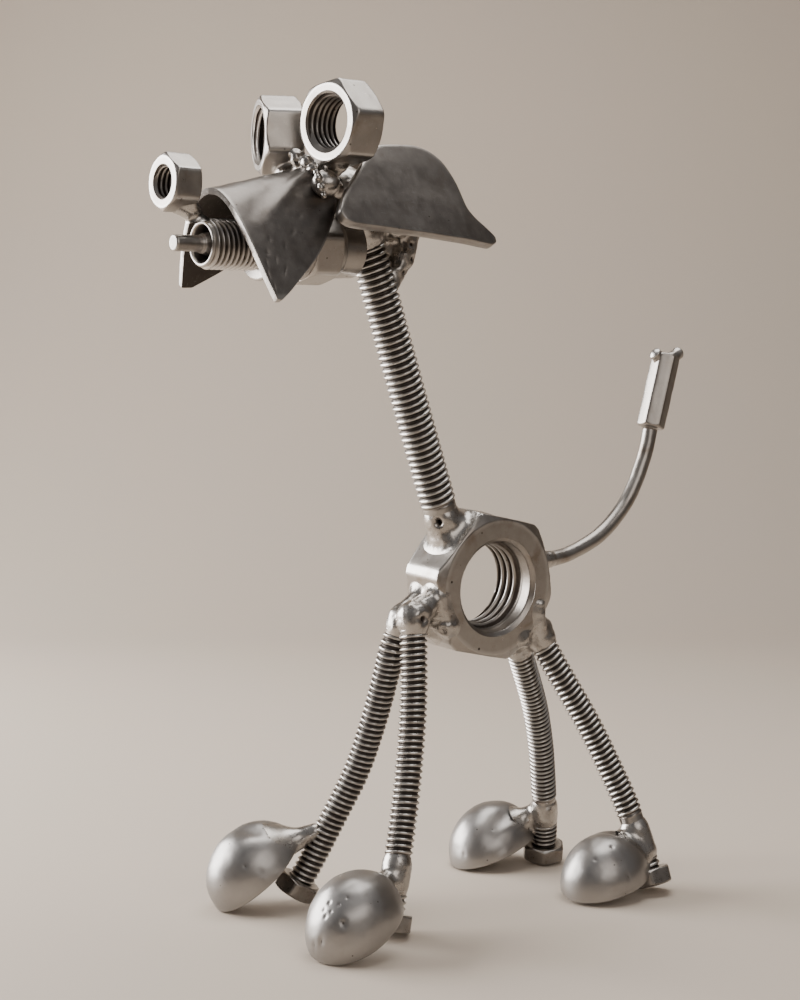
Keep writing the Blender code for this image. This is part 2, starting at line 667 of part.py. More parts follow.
def clearance_of(name):
    """A copy of a finished piece, grown by the gap, to cut its neighbours with."""
    copy = add(name + "_copy", bpy.data.objects[name].data.copy(), guide=True)
    fatten = copy.modifiers.new("gap", "DISPLACE")
    fatten.strength = GAP
    fatten.mid_level = 0.0
    return baked(copy, name + "_clearance")


def foot_welds(leg_clear, mat):
    """The bead that joins each shank to the heel of its half egg."""
    for key, (spot, yaw, lift, roll, up) in FEET.items():
        shell = bpy.data.objects[f"foot_{key}"]
        path = leg_points(key)
        top = max(v.co.z for v in shell.data.vertices)
        heel = max((v.co for v in shell.data.vertices if v.co.z > top * 0.62),
                   key=lambda co: co.y - 0.6 * abs(co.x - path[-2].x))
        near = min(catmull(path), key=lambda p: (p - heel).length)
        middle = (heel * 0.45 + near * 0.55) / MM
        side = (heel * 0.75 + near * 0.25) / MM
        near = near / MM
        clear = clearance_of(f"foot_{key}")
        weld(f"weld_foot_{key}", [((middle.x, middle.y, middle.z + 0.6), (5.0, 4.8, 4.2)),
                                  ((near.x, near.y, near.z + 2.4), (5.2, 5.2, 4.4)),
                                  ((side.x, side.y, side.z + 0.4), (4.2, 4.0, 3.4))],
             leg_clear[key] + [clear], mat, mm, sides=6)


def head_welds(neck_clear, plug_clear, mat):
    plate, ear_l, ear_r, eye_l, eye_r, nose = [clearance_of(name) for name in (
        "muzzle_plate", "ear_left", "ear_right", "eye_nut_left", "eye_nut_right", "nose_nut")]
    weld("weld_nose", [((0, -2.4, 8.9), (3.6, 3.8, 3.4)), ((0, -1.2, 5.5), (3.4, 2.6, 3.0))],
         [nose, plug_clear, plate], mat)
    weld("weld_temple_left", [((9.4, 35.6, 16.9), (3.4, 3.4, 3.2)), ((11.2, 38.0, 15.5), (2.4, 2.4, 2.4))],
         [plate, ear_l, eye_l, plug_clear], mat)
    weld("weld_temple_right", [((-9.4, 35.6, 16.9), (3.2, 3.4, 3.2))],
         [plate, ear_r, eye_r, plug_clear], mat)
    temples = [clearance_of("weld_temple_left"), clearance_of("weld_temple_right")]
    weld("weld_eyes", [((0, 38.6, 24.5), (6.5, 4.6, 4.4)), ((7.8, 40.2, 22.1), (5.4, 4.2, 2.8)),
                       ((-8.6, 36.8, 20.9), (5.6, 4.4, 2.8))],
         [plate, eye_l, eye_r, ear_l, ear_r] + temples, mat)
    eyes = clearance_of("weld_eyes")
    weld("weld_crown", [((0, 50.2, 13.0), (10.0, 7.0, 7.5)), ((7.8, 54.2, 19.5), (5.0, 6.0, 5.0)),
                        ((-7.8, 54.2, 19.5), (5.0, 6.0, 5.0)), ((0, 56.2, 6.5), (8.0, 6.0, 5.0)),
                        ((0, 65.7, -1.5), (6.4, 4.2, 7.5)), ((3.0, 67.7, -7.5), (4.0, 3.6, 6.5))],
         [plate, eye_l, eye_r, ear_l, ear_r, neck_clear, plug_clear, eyes] + temples, mat)


def stand_on_origin():
    """Move every piece so that the middle of the bounding box stands on the origin."""
    pieces = list(bpy.data.collections[PARTS].objects)
    places = [obj.matrix_world @ v.co for obj in pieces for v in obj.data.vertices]
    low = [min(p[i] for p in places) for i in range(3)]
    high = [max(p[i] for p in places) for i in range(3)]
    shift = Vector((-(low[0] + high[0]) / 2, -(low[1] + high[1]) / 2, -low[2]))
    for obj in pieces:
        obj.data.transform(Matrix.Translation(shift))


if __name__ == "__main__":
    clear_scene()
    build()
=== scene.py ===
"""Looks of a small dog welded from nuts, bent bolts, half-egg feet, a threaded snout and sheet.

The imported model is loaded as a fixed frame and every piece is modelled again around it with
helical threads, rounded edges, lumpy weld metal and steel finishes. Places are written in
millimetres in the maker's frame: the dog faces -Y, its left side is +X, +Z is up, and the
body nut stands over the origin. Layout turns them into metres in the row frame.
"""
from __future__ import annotations

import logging  # noqa: E402
import math  # noqa: E402
from dataclasses import dataclass, field, replace  # noqa: E402
from enum import Enum  # noqa: E402
from typing import Any, Callable, Sequence  # noqa: E402

import bpy  # noqa: E402
import numpy as np  # noqa: E402
from mathutils import Matrix, Vector, noise  # noqa: E402

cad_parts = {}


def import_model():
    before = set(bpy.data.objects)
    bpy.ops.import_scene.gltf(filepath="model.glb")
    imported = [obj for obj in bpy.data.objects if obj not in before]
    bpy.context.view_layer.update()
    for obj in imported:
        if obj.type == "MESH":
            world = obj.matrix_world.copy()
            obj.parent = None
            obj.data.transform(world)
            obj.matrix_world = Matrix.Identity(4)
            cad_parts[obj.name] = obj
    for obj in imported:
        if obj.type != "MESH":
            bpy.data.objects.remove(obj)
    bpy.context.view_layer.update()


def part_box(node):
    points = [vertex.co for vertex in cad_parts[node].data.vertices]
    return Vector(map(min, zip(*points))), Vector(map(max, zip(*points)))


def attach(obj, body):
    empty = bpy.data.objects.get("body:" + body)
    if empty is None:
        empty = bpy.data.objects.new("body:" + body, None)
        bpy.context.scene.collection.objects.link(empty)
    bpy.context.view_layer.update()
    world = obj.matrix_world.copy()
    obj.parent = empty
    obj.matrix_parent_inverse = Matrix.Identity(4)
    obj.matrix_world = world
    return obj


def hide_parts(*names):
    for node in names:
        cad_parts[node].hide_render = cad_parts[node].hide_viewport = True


LOG = logging.getLogger("scrap_dog")
MM = 0.001
IMAGE_HIGH = 1000
Triple = tuple[float, float, float]


class Slot(Enum):
    """The record's material slots."""

    BARE = "bare_steel"
    THREAD = "threaded_steel"
    CAST = "cast_steel"
    SHEET = "heated_sheet"
    WELD = "weld_metal"
    CORE = "core_metal"


# Shader expressions


class Sock:
    """A shader socket that can stand in sums; every operator adds one Math node."""

    def __init__(self, shader: "Shader", link: bpy.types.NodeSocket) -> None:
        """Keep the socket and the tree it belongs to."""
        self.shader = shader
        self.link = link

    def _math(self, operation: str, *values: Any) -> "Sock":
        """Add a Math node over the given values."""
        return self.shader.node("ShaderNodeMath", {"operation": operation}, *values)

    def __add__(self, other: Any) -> "Sock":
        """self + other."""
        return self._math("ADD", self, other)

    def __radd__(self, other: Any) -> "Sock":
        """other + self."""
        return self._math("ADD", other, self)

    def __sub__(self, other: Any) -> "Sock":
        """self - other."""
        return self._math("SUBTRACT", self, other)

    def __mul__(self, other: Any) -> "Sock":
        """self * other."""
        return self._math("MULTIPLY", self, other)

    def at_most(self, other: Any) -> "Sock":
        """The smaller of the two."""
        return self._math("MINIMUM", self, other)

    def at_least(self, other: Any) -> "Sock":
        """The larger of the two."""
        return self._math("MAXIMUM", self, other)

    def step(self, low: float, high: float) -> "Sock":
        """A smooth step from 0 at low to 1 at high, which may run downwards."""
        settings = {"interpolation_type": "SMOOTHSTEP", "clamp": True}
        return self.shader.node("ShaderNodeMapRange", settings, self, low, high, 0.0, 1.0)


class Shader:
    """A material under construction."""

    def __init__(self, name: str) -> None:
        """Start a material with an empty Principled shader.

        Args:
            name: The material's name.
        """
        self.material = bpy.data.materials.new(name)
        self.material.use_nodes = True
        self.tree = self.material.node_tree
        self.surface = self.tree.nodes["Principled BSDF"]

    def node(self, kind: str, settings: dict[str, Any], *values: Any, out: int | str = 0,
             **named: Any) -> Sock:
        """Add a node, apply its settings and then fill its inputs.

        Args:
            kind: The node's type.
            settings: Attributes set first; "stops" fills a colour ramp.
            values: Inputs in order; None leaves a socket as it is.
            out: The output to hand back.
            named: Inputs by name, with underscores for spaces.

        Returns:
            The chosen output.
        """
        made = self.tree.nodes.new(kind)
        for key, value in settings.items():
            if key == "stops":
                self.fill_ramp(made, value)
            else:
                setattr(made, key, value)
        sockets = [s for s in made.inputs if s.enabled]
        pairs = list(zip(sockets, values))
        pairs += [(made.inputs[key.replace("_", " ")], value) for key, value in named.items()]
        for socket, value in pairs:
            if value is None:
                continue
            if isinstance(value, Sock):
                self.tree.links.new(value.link, socket)
            else:
                socket.default_value = self._fit(socket, value)
        outputs = [s for s in made.outputs if s.enabled]
        return Sock(self, outputs[out] if isinstance(out, int) else made.outputs[out])

    @staticmethod
    def _fit(socket: bpy.types.NodeSocket, value: Any) -> Any:
        """Give a colour socket its fourth number.

        Args:
            socket: The socket that is filled.
            value: A number, a vector or a colour.

        Returns:
            The value that fits the socket.
        """
        if socket.type == "RGBA" and len(value) == 3:
            return (*value, 1.0)
        return value

    @staticmethod
    def fill_ramp(ramp: bpy.types.Node, stops: Sequence[tuple[float, Triple]]) -> None:
        """Fill a colour ramp.

        Args:
            ramp: The ramp node.
            stops: Places from 0 to 1, each with its colour.
        """
        band = ramp.color_ramp.elements
        while len(band) < len(stops):
            band.new(0.5)
        for element, (place, colour) in zip(band, stops):
            element.position = place
            element.color = (*colour, 1.0)

    def mix(self, amount: Any, first: Any, second: Any) -> Sock:
        """Mix two colours by an amount from 0 to 1."""
        settings = {"data_type": "RGBA", "clamp_factor": True}
        return self.node("ShaderNodeMix", settings, amount, first, second)

    def attribute(self, name: str) -> Sock:
        """A number stored on the mesh's points."""
        return self.node("ShaderNodeAttribute", {"attribute_name": name}, out="Fac")

    def place(self, scale: Triple = (1, 1, 1)) -> Sock:
        """The point in the row frame, in millimetres, stretched.

        Args:
            scale: How much each axis is stretched.

        Returns:
            The place as a vector.
        """
        where = self.node("ShaderNodeTexCoord", {}, out="Object")
        stretch = tuple(s / MM for s in scale)
        return self.node("ShaderNodeVectorMath", {"operation": "MULTIPLY"}, where, stretch)

    def noise(self, where: Sock, size: float, detail: float = 3.0, rough: float = 0.55,
              warp: float = 0.0) -> Sock:
        """Noise whose lumps are about size millimetres across."""
        return self.node("ShaderNodeTexNoise", {}, Vector=where, Scale=1.0 / size, Detail=detail,
                         Roughness=rough, Distortion=warp)

    def cells(self, where: Sock, size: float, out: str = "Distance") -> Sock:
        """Distance to, or colour of, scattered points about size millimetres apart."""
        return self.node("ShaderNodeTexVoronoi", {}, Vector=where, Scale=1.0 / size, out=out)

    def red(self, colour: Sock) -> Sock:
        """The first channel of a colour."""
        return self.node("ShaderNodeSeparateColor", {}, colour)

    def far_from(self, where: Sock, spot: Triple) -> Sock:
        """Distance from a spot in the same units."""
        return self.node("ShaderNodeVectorMath", {"operation": "DISTANCE"}, where, spot, out="Value")

    def feed(self, **inputs: Any) -> None:
        """Fill the Principled shader's sockets.

        Args:
            inputs: Values or links by name, with underscores for spaces.
        """
        for key, value in inputs.items():
            socket = self.surface.inputs[key.replace("_", " ")]
            if isinstance(value, Sock):
                self.tree.links.new(value.link, socket)
            else:
                socket.default_value = self._fit(socket, value)


# Finishes


@dataclass(frozen=True)
class SteelFinish:
    """Bare, worn steel: bright where rubbed; dark in its recesses, from dirt and painted shade; with
    scratches and pits.
    """

    name: str
    bright: Triple
    dull: Triple
    # The darkest colour: dirt in hollows, and painted shade where a low stored value marks a face in
    # shadow.
    recess_dirt_and_shade: Triple
    stain: Triple
    rough: float
    rough_spread: float = 0.10
    recess_rough: float = 0.25
    stain_share: float = 0.35
    stain_size: float = 9.0
    stain_strength: float = 0.75
    scratch: float = 0.5
    pit_size: float = 3.2
    pit_share: float = 0.25
    pit_depth: float = 0.5
    ripple: float = 0.12
    ripple_size: float = 1.6
    spots: tuple[tuple[Triple, float], ...] = ()

    def make(self) -> bpy.types.Material:
        """Build the material.

        Returns:
            The finished material.
        """
        s = Shader(self.name)
        where = s.place()
        wear_and_shade = s.attribute("wear_and_shade")
        patches = s.noise(where, self.stain_size, 4.0, 0.6, 0.4)
        clouds = s.noise(where, self.stain_size * 0.37, 5.0, 0.62)
        grain = s.noise(where, 0.35, 2.0, 0.5)
        streaks = s.noise(s.place((0.10, 1.0, 0.14)), 0.28, 2.0, 0.5)
        cross = s.noise(s.place((1.0, 0.12, 0.09)), 0.33, 2.0, 0.5)
        scratches = (streaks.step(0.63, 0.70) + cross.step(0.65, 0.72)).at_most(1.0) * self.scratch
        pits = self._pits(s, where)
        marks = self._marks(s, where)
        rubbed = (wear_and_shade + (clouds - 0.5) * 0.35).step(0.30, 0.95)
        metal = s.mix(rubbed, self.dull, self.bright)
        stained = patches.step(0.62 - 0.3 * self.stain_share, 0.80) * self.stain_strength
        metal = s.mix(stained, metal, self.stain)
        # Low stored values take the darkest colour: dirt in thread roots and pits, and painted shade on
        # faces in shadow.
        metal = s.mix(wear_and_shade.step(0.34, 0.02), metal, self.recess_dirt_and_shade)
        metal = s.mix(scratches * 0.35, metal, self.bright)
        metal = s.mix((pits * 0.8 + marks).at_most(1.0), metal, self.recess_dirt_and_shade)
        rough = self.rough + (clouds - 0.5) * (2 * self.rough_spread) + (grain - 0.5) * 0.10
        rough = rough + wear_and_shade.step(0.34, 0.02) * self.recess_rough - scratches * 0.08 + pits * 0.2
        s.feed(Base_Color=metal, Metallic=1.0, Roughness=rough.at_least(0.08).at_most(0.9))
        ripple = s.noise(where, self.ripple_size, 3.0, 0.5)
        relief = ripple * self.ripple + grain * 0.02 - scratches * 0.02
        relief = relief - pits * (0.12 * self.pit_depth) - marks * 0.25
        bump = s.node("ShaderNodeBump", {}, Strength=0.55, Distance=0.35 * MM, Height=relief)
        s.feed(Normal=bump)
        return s.material

    def _pits(self, s: Shader, where: Sock) -> Sock:
        """Small scattered pits, as a mask.

        Args:
            s: The material under construction.
            where: The place in millimetres.

        Returns:
            1 in a pit, 0 outside.
        """
        near = s.cells(where, self.pit_size)
        chance = s.red(s.cells(where, self.pit_size, out="Color"))
        return near.step(0.13, 0.05) * chance.step(1.0 - self.pit_share, 1.02 - self.pit_share)

    def _marks(self, s: Shader, where: Sock) -> Sock | float:
        """Single pits at given places, as a mask.

        Args:
            s: The material under construction.
            where: The place in millimetres.

        Returns:
            1 in a pit, or the number 0 where the finish has none.
        """
        total: Sock | float = 0.0
        for spot, radius in self.spots:
            place = tuple(v / MM for v in spot)
            total = s.far_from(where, place).step(radius / MM, radius / MM * 0.45) + total
        return total


BARE = SteelFinish("bare_steel", bright=(0.46, 0.44, 0.42), dull=(0.30, 0.275, 0.25),
                   recess_dirt_and_shade=(0.050, 0.040, 0.034), stain=(0.22, 0.175, 0.14), rough=0.33)
THREAD = SteelFinish("threaded_steel", bright=(0.54, 0.52, 0.49), dull=(0.22, 0.20, 0.185),
                     recess_dirt_and_shade=(0.030, 0.025, 0.022), stain=(0.20, 0.165, 0.14), rough=0.30,
                     rough_spread=0.06, scratch=0.2, pit_share=0.05, ripple=0.05)
CAST = SteelFinish("cast_steel", bright=(0.40, 0.385, 0.37), dull=(0.31, 0.295, 0.285),
                   recess_dirt_and_shade=(0.06, 0.05, 0.045), stain=(0.24, 0.215, 0.20), rough=0.37,
                   rough_spread=0.05, scratch=0.25, pit_size=2.6, pit_share=0.16, pit_depth=0.9,
                   stain_share=0.3, stain_size=12.0, ripple=0.10, ripple_size=2.2)
SHEET = SteelFinish("heated_sheet", bright=(0.32, 0.30, 0.28), dull=(0.155, 0.14, 0.128),
                    recess_dirt_and_shade=(0.05, 0.042, 0.036), stain=(0.115, 0.098, 0.086), rough=0.36,
                    scratch=0.45, pit_size=2.8, pit_share=0.22, ripple=0.10, stain_share=0.55)
WELD = SteelFinish("weld_metal", bright=(0.48, 0.46, 0.435), dull=(0.36, 0.335, 0.31),
                   recess_dirt_and_shade=(0.045, 0.035, 0.03), stain=(0.24, 0.19, 0.15), rough=0.29,
                   rough_spread=0.07, scratch=0.05, pit_size=2.2, pit_share=0.25,
                   stain_size=5.0, stain_strength=0.45, ripple=0.16, ripple_size=1.8)
CORE = SteelFinish("core_metal", bright=(0.44, 0.42, 0.39), dull=(0.15, 0.13, 0.12),
                   recess_dirt_and_shade=(0.03, 0.025, 0.022), stain=(0.12, 0.09, 0.07), rough=0.34)


# Places


@dataclass
class Layout:
    """Turns the maker's millimetres into the row frame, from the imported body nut's place."""

    nut_face: float = 8.25
    nut_thick: float = 17.7
    nut_af: float = 43.0
    nut_high: float = 99.5
    plug_front: float = -102.2
    plug_high: float = 201.5
    shift: Vector = field(default_factory=Vector)

    def read(self) -> None:
        """Work out the shift from the frame."""
        low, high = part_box("body_nut")
        middle = Vector((self.nut_face - self.nut_thick / 2, 0, self.nut_high)) * MM
        self.shift = (low + high) / 2 - middle

    def at(self, x: float, y: float, z: float) -> Vector:
        """A place in the maker's frame, in the row frame in metres."""
        return Vector((x, y, z)) * MM + self.shift

    def on_body(self, x: float, angle: float, out: float) -> Vector:
        """A place out from the body nut's flats; the angle runs upwards from the front.

        Args:
            x: Sideways, in millimetres.
            angle: Degrees round the nut from its front.
            out: Millimetres out from the flats' circle.

        Returns:
            The place in metres.
        """
        reach = self.nut_af / 2 + out
        turn = math.radians(angle)
        return self.at(x, -math.cos(turn) * reach, self.nut_high + math.sin(turn) * reach)

    def on_head(self, x: float, back: float, up: float) -> Vector:
        """A place sideways, behind the snout's front end and above its axis."""
        return self.at(x, self.plug_front + back, self.plug_high + up)


LAYOUT = Layout()


def axes(origin: Vector, axis: Sequence[float], spin: float = 0.0,
         side: Sequence[float] = (1, 0, 0)) -> Matrix:
    """A frame with +Z along an axis.

    Args:
        origin: Its origin in metres.
        axis: The direction of +Z.
        spin: A turn about the axis, in degrees.
        side: The direction that +X is kept close to.

    Returns:
        The frame's matrix.
    """
    z = Vector(axis).normalized()
    x = Vector(side) - z * Vector(side).dot(z)
    x.normalize()
    y = z.cross(x)
    turn = Matrix((x, y, z)).transposed().to_4x4()
    return Matrix.Translation(origin) @ turn @ Matrix.Rotation(math.radians(spin), 4, "Z")


# Meshes from grids of points


def ease(value: np.ndarray, low: float, high: float) -> np.ndarray:
    """A smooth step from 0 at low to 1 at high, for arrays; it may run downwards.

    Args:
        value: The numbers.
        low: Where the step starts.
        high: Where it is complete.

    Returns:
        Numbers from 0 to 1.
    """
    t = np.clip((value - low) / (high - low), 0, 1)
    return t * t * (3 - 2 * t)


def grid_object(name: str, points: np.ndarray, wear_and_shade: np.ndarray, loop: bool = False,
                caps: bool = True) -> bpy.types.Object:
    """A mesh from rings of points.

    Args:
        name: The object's name.
        points: Rings by sectors by three numbers, in metres.
        wear_and_shade: How rubbed each point is, from 0 in a recess to 1 on an edge; low values also paint
            shade.
        loop: Whether the last ring joins the first, as in a nut.
        caps: Whether the open ends are closed by fans.

    Returns:
        The linked object.
    """
    rings, sectors = points.shape[:2]
    index = np.arange(rings * sectors).reshape(rings, sectors)
    below = index if loop else index[:-1]
    above = np.roll(index, -1, 0) if loop else index[1:]
    quads = np.stack([below, np.roll(below, -1, 1), np.roll(above, -1, 1), above], -1).reshape(-1, 4)
    verts = points.reshape(-1, 3)
    worn = wear_and_shade.reshape(-1)
    faces = quads.tolist()
    if caps and not loop:
        for ring, flip in ((0, True), (rings - 1, False)):
            hub = len(verts)
            verts = np.vstack([verts, points[ring].mean(0)])
            worn = np.append(worn, wear_and_shade[ring].mean())
            for j in range(sectors):
                a, b = int(index[ring, j]), int(index[ring, (j + 1) % sectors])
                faces.append([b, a, hub] if flip else [a, b, hub])
    mesh = bpy.data.meshes.new(name)
    mesh.from_pydata(verts.tolist(), [], faces)
    obj = bpy.data.objects.new(name, mesh)
    bpy.context.scene.collection.objects.link(obj)
    set_wear_and_shade(mesh, worn)
    if inside_out(mesh):
        mesh.flip_normals()
    return obj


def set_wear_and_shade(mesh: bpy.types.Mesh, values: np.ndarray) -> None:
    """Store how rubbed each point is; low values also paint shade.

    Args:
        mesh: The mesh.
        values: Wear from 0 to 1, one for each point.
    """
    layer = mesh.attributes.get("wear_and_shade") or mesh.attributes.new("wear_and_shade", "FLOAT", "POINT")
    layer.data.foreach_set("value", np.asarray(values, np.float32))


def mesh_points(mesh: bpy.types.Mesh) -> np.ndarray:
    """The mesh's points as an array.

    Args:
        mesh: The mesh.

    Returns:
        Places in metres, one row each.
    """
    flat = np.zeros(len(mesh.vertices) * 3, np.float32)
    mesh.vertices.foreach_get("co", flat)
    return flat.reshape(-1, 3).astype(float)


def inside_out(mesh: bpy.types.Mesh) -> bool:
    """Whether the mesh encloses a negative volume.

    Args:
        mesh: The mesh.

    Returns:
        True where its faces point inwards.
    """
    mesh.calc_loop_triangles()
    flat = np.zeros(len(mesh.loop_triangles) * 3, np.int32)
    mesh.loop_triangles.foreach_get("vertices", flat)
    a, b, c = (mesh_points(mesh)[flat.reshape(-1, 3)][:, k] for k in range(3))
    middle = a.mean(0)
    return float(np.einsum("ij,ij->i", a - middle, np.cross(b - middle, c - middle)).sum()) < 0


def joined(name: str, parts: Sequence[bpy.types.Object]) -> bpy.types.Object:
    """Join objects into the first one and name it.

    Args:
        name: The new name.
        parts: The objects.

    Returns:
        The joined object.
    """
    for obj in bpy.context.selected_objects:
        obj.select_set(False)
    for obj in parts:
        obj.select_set(True)
    bpy.context.view_layer.objects.active = parts[0]
    if len(parts) > 1:
        bpy.ops.object.join()
    parts[0].name = name
    parts[0].data.name = name
    return parts[0]


def applied(obj: bpy.types.Object) -> bpy.types.Object:
    """Replace an object's mesh by its modified one.

    Args:
        obj: The object.

    Returns:
        The same object without modifiers.
    """
    bpy.context.view_layer.update()
    graph = bpy.context.evaluated_depsgraph_get()
    mesh = bpy.data.meshes.new_from_object(obj.evaluated_get(graph))
    obj.modifiers.clear()
    obj.data = mesh
    return obj


def jitter(points: np.ndarray, size: float, amount: float, seed: float = 0.0) -> np.ndarray:
    """Smooth random numbers at points.

    Args:
        points: Places in metres, any shape ending in three.
        size: Lump size in millimetres.
        amount: Largest value, in millimetres.
        seed: An offset that picks another pattern.

    Returns:
        Values in metres, one for each point.
    """
    flat = points.reshape(-1, 3) / (size * MM)
    shift = Vector((seed, seed * 1.7, seed * 0.3))
    values = [noise.noise(Vector(p) + shift) for p in flat]
    return np.array(values).reshape(points.shape[:-1]) * amount * MM


# Threads, rods and turned parts


def thread_rise(phase: np.ndarray, crest: float = 0.04, root: float = 0.14) -> np.ndarray:
    """Height of a rolled thread over its root, 0 to 1, with the crest at whole numbers.

    Args:
        phase: Turns along the thread.
        crest: Share of the pitch that is flat on top.
        root: Share that is flat below.

    Returns:
        The height.
    """
    away = np.abs((phase + 0.5) % 1.0 - 0.5) * 2
    slope = np.clip((1 - root - away) / (1 - root - crest), 0, 1)
    return np.sin(slope * math.pi / 2) ** 1.5


def soft_min(a: np.ndarray, b: np.ndarray, blend: float) -> np.ndarray:
    """The smaller value, with a rounded change-over that is blend wide.

    Args:
        a: One set of values.
        b: The other set.
        blend: Width of the change-over.

    Returns:
        The rounded smaller values.
    """
    share = np.clip(0.5 + 0.5 * (b - a) / blend, 0, 1)
    return b * (1 - share) + a * share - blend * share * (1 - share)


class Path:
    """A smooth line through points with frames that don't twist."""

    def __init__(self, points: Sequence[Vector], per: int = 24) -> None:
        """Draw the line through points in metres.

        Args:
            points: Places that it passes.
            per: Pieces between two of them.
        """
        ends = [2 * points[0] - points[1]] + list(points) + [2 * points[-1] - points[-2]]
        line: list[np.ndarray] = []
        for i in range(1, len(ends) - 2):
            a, b, c, d = (np.array(p) for p in ends[i - 1:i + 3])
            for k in range(per):
                t = k / per
                line.append(0.5 * (2 * b + (c - a) * t + (2 * a - 5 * b + 4 * c - d) * t ** 2
                                   + (3 * b - a - 3 * c + d) * t ** 3))
        line.append(np.array(points[-1]))
        self.points = np.array(line)
        steps = np.linalg.norm(np.diff(self.points, axis=0), axis=1)
        self.along = np.concatenate([[0], np.cumsum(steps)])
        self.length = float(self.along[-1])

    def frames(self, places: np.ndarray, side: Sequence[float] = (1, 0, 0)) -> tuple[np.ndarray, ...]:
        """Centres, normals, binormals and tangents at distances along the line.

        Args:
            places: Distances in metres; past an end the line runs on straight.
            side: The direction that normals are kept close to.

        Returns:
            Four arrays of vectors.
        """
        centre = np.stack([np.interp(places, self.along, self.points[:, k]) for k in range(3)], -1)
        step = 0.0015
        held = np.clip(places, 0, self.length)
        ahead = np.stack([np.interp(held + step, self.along, self.points[:, k]) for k in range(3)], -1)
        behind = np.stack([np.interp(held - step, self.along, self.points[:, k]) for k in range(3)], -1)
        tangent = ahead - behind
        tangent /= np.linalg.norm(tangent, axis=1)[:, None]
        before = places < 0
        centre[before] += tangent[before] * places[before, None]
        beyond = places > self.length
        centre[beyond] += tangent[beyond] * (places[beyond] - self.length)[:, None]
        normal = np.array(side) - tangent * (tangent @ np.array(side, float))[:, None]
        normal /= np.linalg.norm(normal, axis=1)[:, None]
        return centre, normal, np.cross(tangent, normal), tangent


def round_grid(centre: np.ndarray, normal: np.ndarray, across: np.ndarray, radii: np.ndarray,
               angles: np.ndarray) -> np.ndarray:
    """Points at radii and angles around centres.

    Args:
        centre: Centres of the rings.
        normal: Their first directions.
        across: Their second directions.
        radii: Rings by sectors, in metres.
        angles: One for each sector.

    Returns:
        Rings by sectors by three numbers.
    """
    ring = np.cos(angles)[None, :, None] * normal[:, None] + np.sin(angles)[None, :, None] * across[:, None]
    return centre[:, None] + ring * radii[..., None]


@dataclass
class Thread:
    """A helical ridge on a rod.

    The ridge fades over the last turns before a bare stretch.
    """

    diameter: float
    pitch: float
    depth: float
    bare: tuple[tuple[float, float], ...] = ()
    fade: float = 2.2
    samples: int = 10
    sectors: int = 36
    phase: float = 0.0

    def strength(self, places: np.ndarray) -> np.ndarray:
        """How far the ridge stands out at places along the rod, in millimetres from its start.

        Args:
            places: Distances along the rod.

        Returns:
            Strength from 0 to 1.
        """
        full = np.ones_like(places)
        for low, high in self.bare:
            gone = ease(places, low - self.fade, low) * (1 - ease(places, high, high + self.fade))
            full = full * (1 - gone)
        return full

    def build(self, name: str, path: Path, start: float = 0.0, end: float | None = None
              ) -> bpy.types.Object:
        """Wind the thread along a path.

        Args:
            name: The object's name.
            path: The rod's middle line.
            start: Where it starts, in millimetres along the path.
            end: Where it stops, or None for the path's end.

        Returns:
            The rod as an object.
        """
        stop = path.length / MM if end is None else end
        count = int((stop - start) / self.pitch * self.samples)
        places = np.linspace(start, stop, count)
        angles = np.linspace(0, 2 * math.pi, self.sectors, endpoint=False)
        phase = places[:, None] / self.pitch - angles[None, :] / (2 * math.pi) + self.phase
        rise = thread_rise(phase) * self.strength(places)[:, None]
        level = self.diameter / 2 - self.depth * (1 - rise)
        smooth = 1 - self.strength(places)[:, None]
        level = level + smooth * self.depth * 0.45
        chamfer = np.minimum(1.0, np.minimum(places - start, stop - places) / 0.8)[:, None]
        level = level - 0.7 * (1 - chamfer)
        centre, normal, across, _ = path.frames(places * MM)
        points = round_grid(centre, normal, across, level * MM, angles)
        points += (points - centre[:, None]) * jitter(points, 2.2, 0.012 / MM, self.diameter)[..., None]
        # the roots get low values and the darkest colour: dirt, and painted shade in the grooves
        wear_and_shade = 0.10 + 0.85 * ease(rise, 0.25, 0.95) + 0.5 * smooth
        return grid_object(name, points, np.clip(wear_and_shade, 0, 1))


@dataclass
class Bore:
    """The threaded hole of a nut, in millimetres."""

    crest: float
    sink: float
    pitch: float
    plain: float = 0.0
    depth: float = 0.55


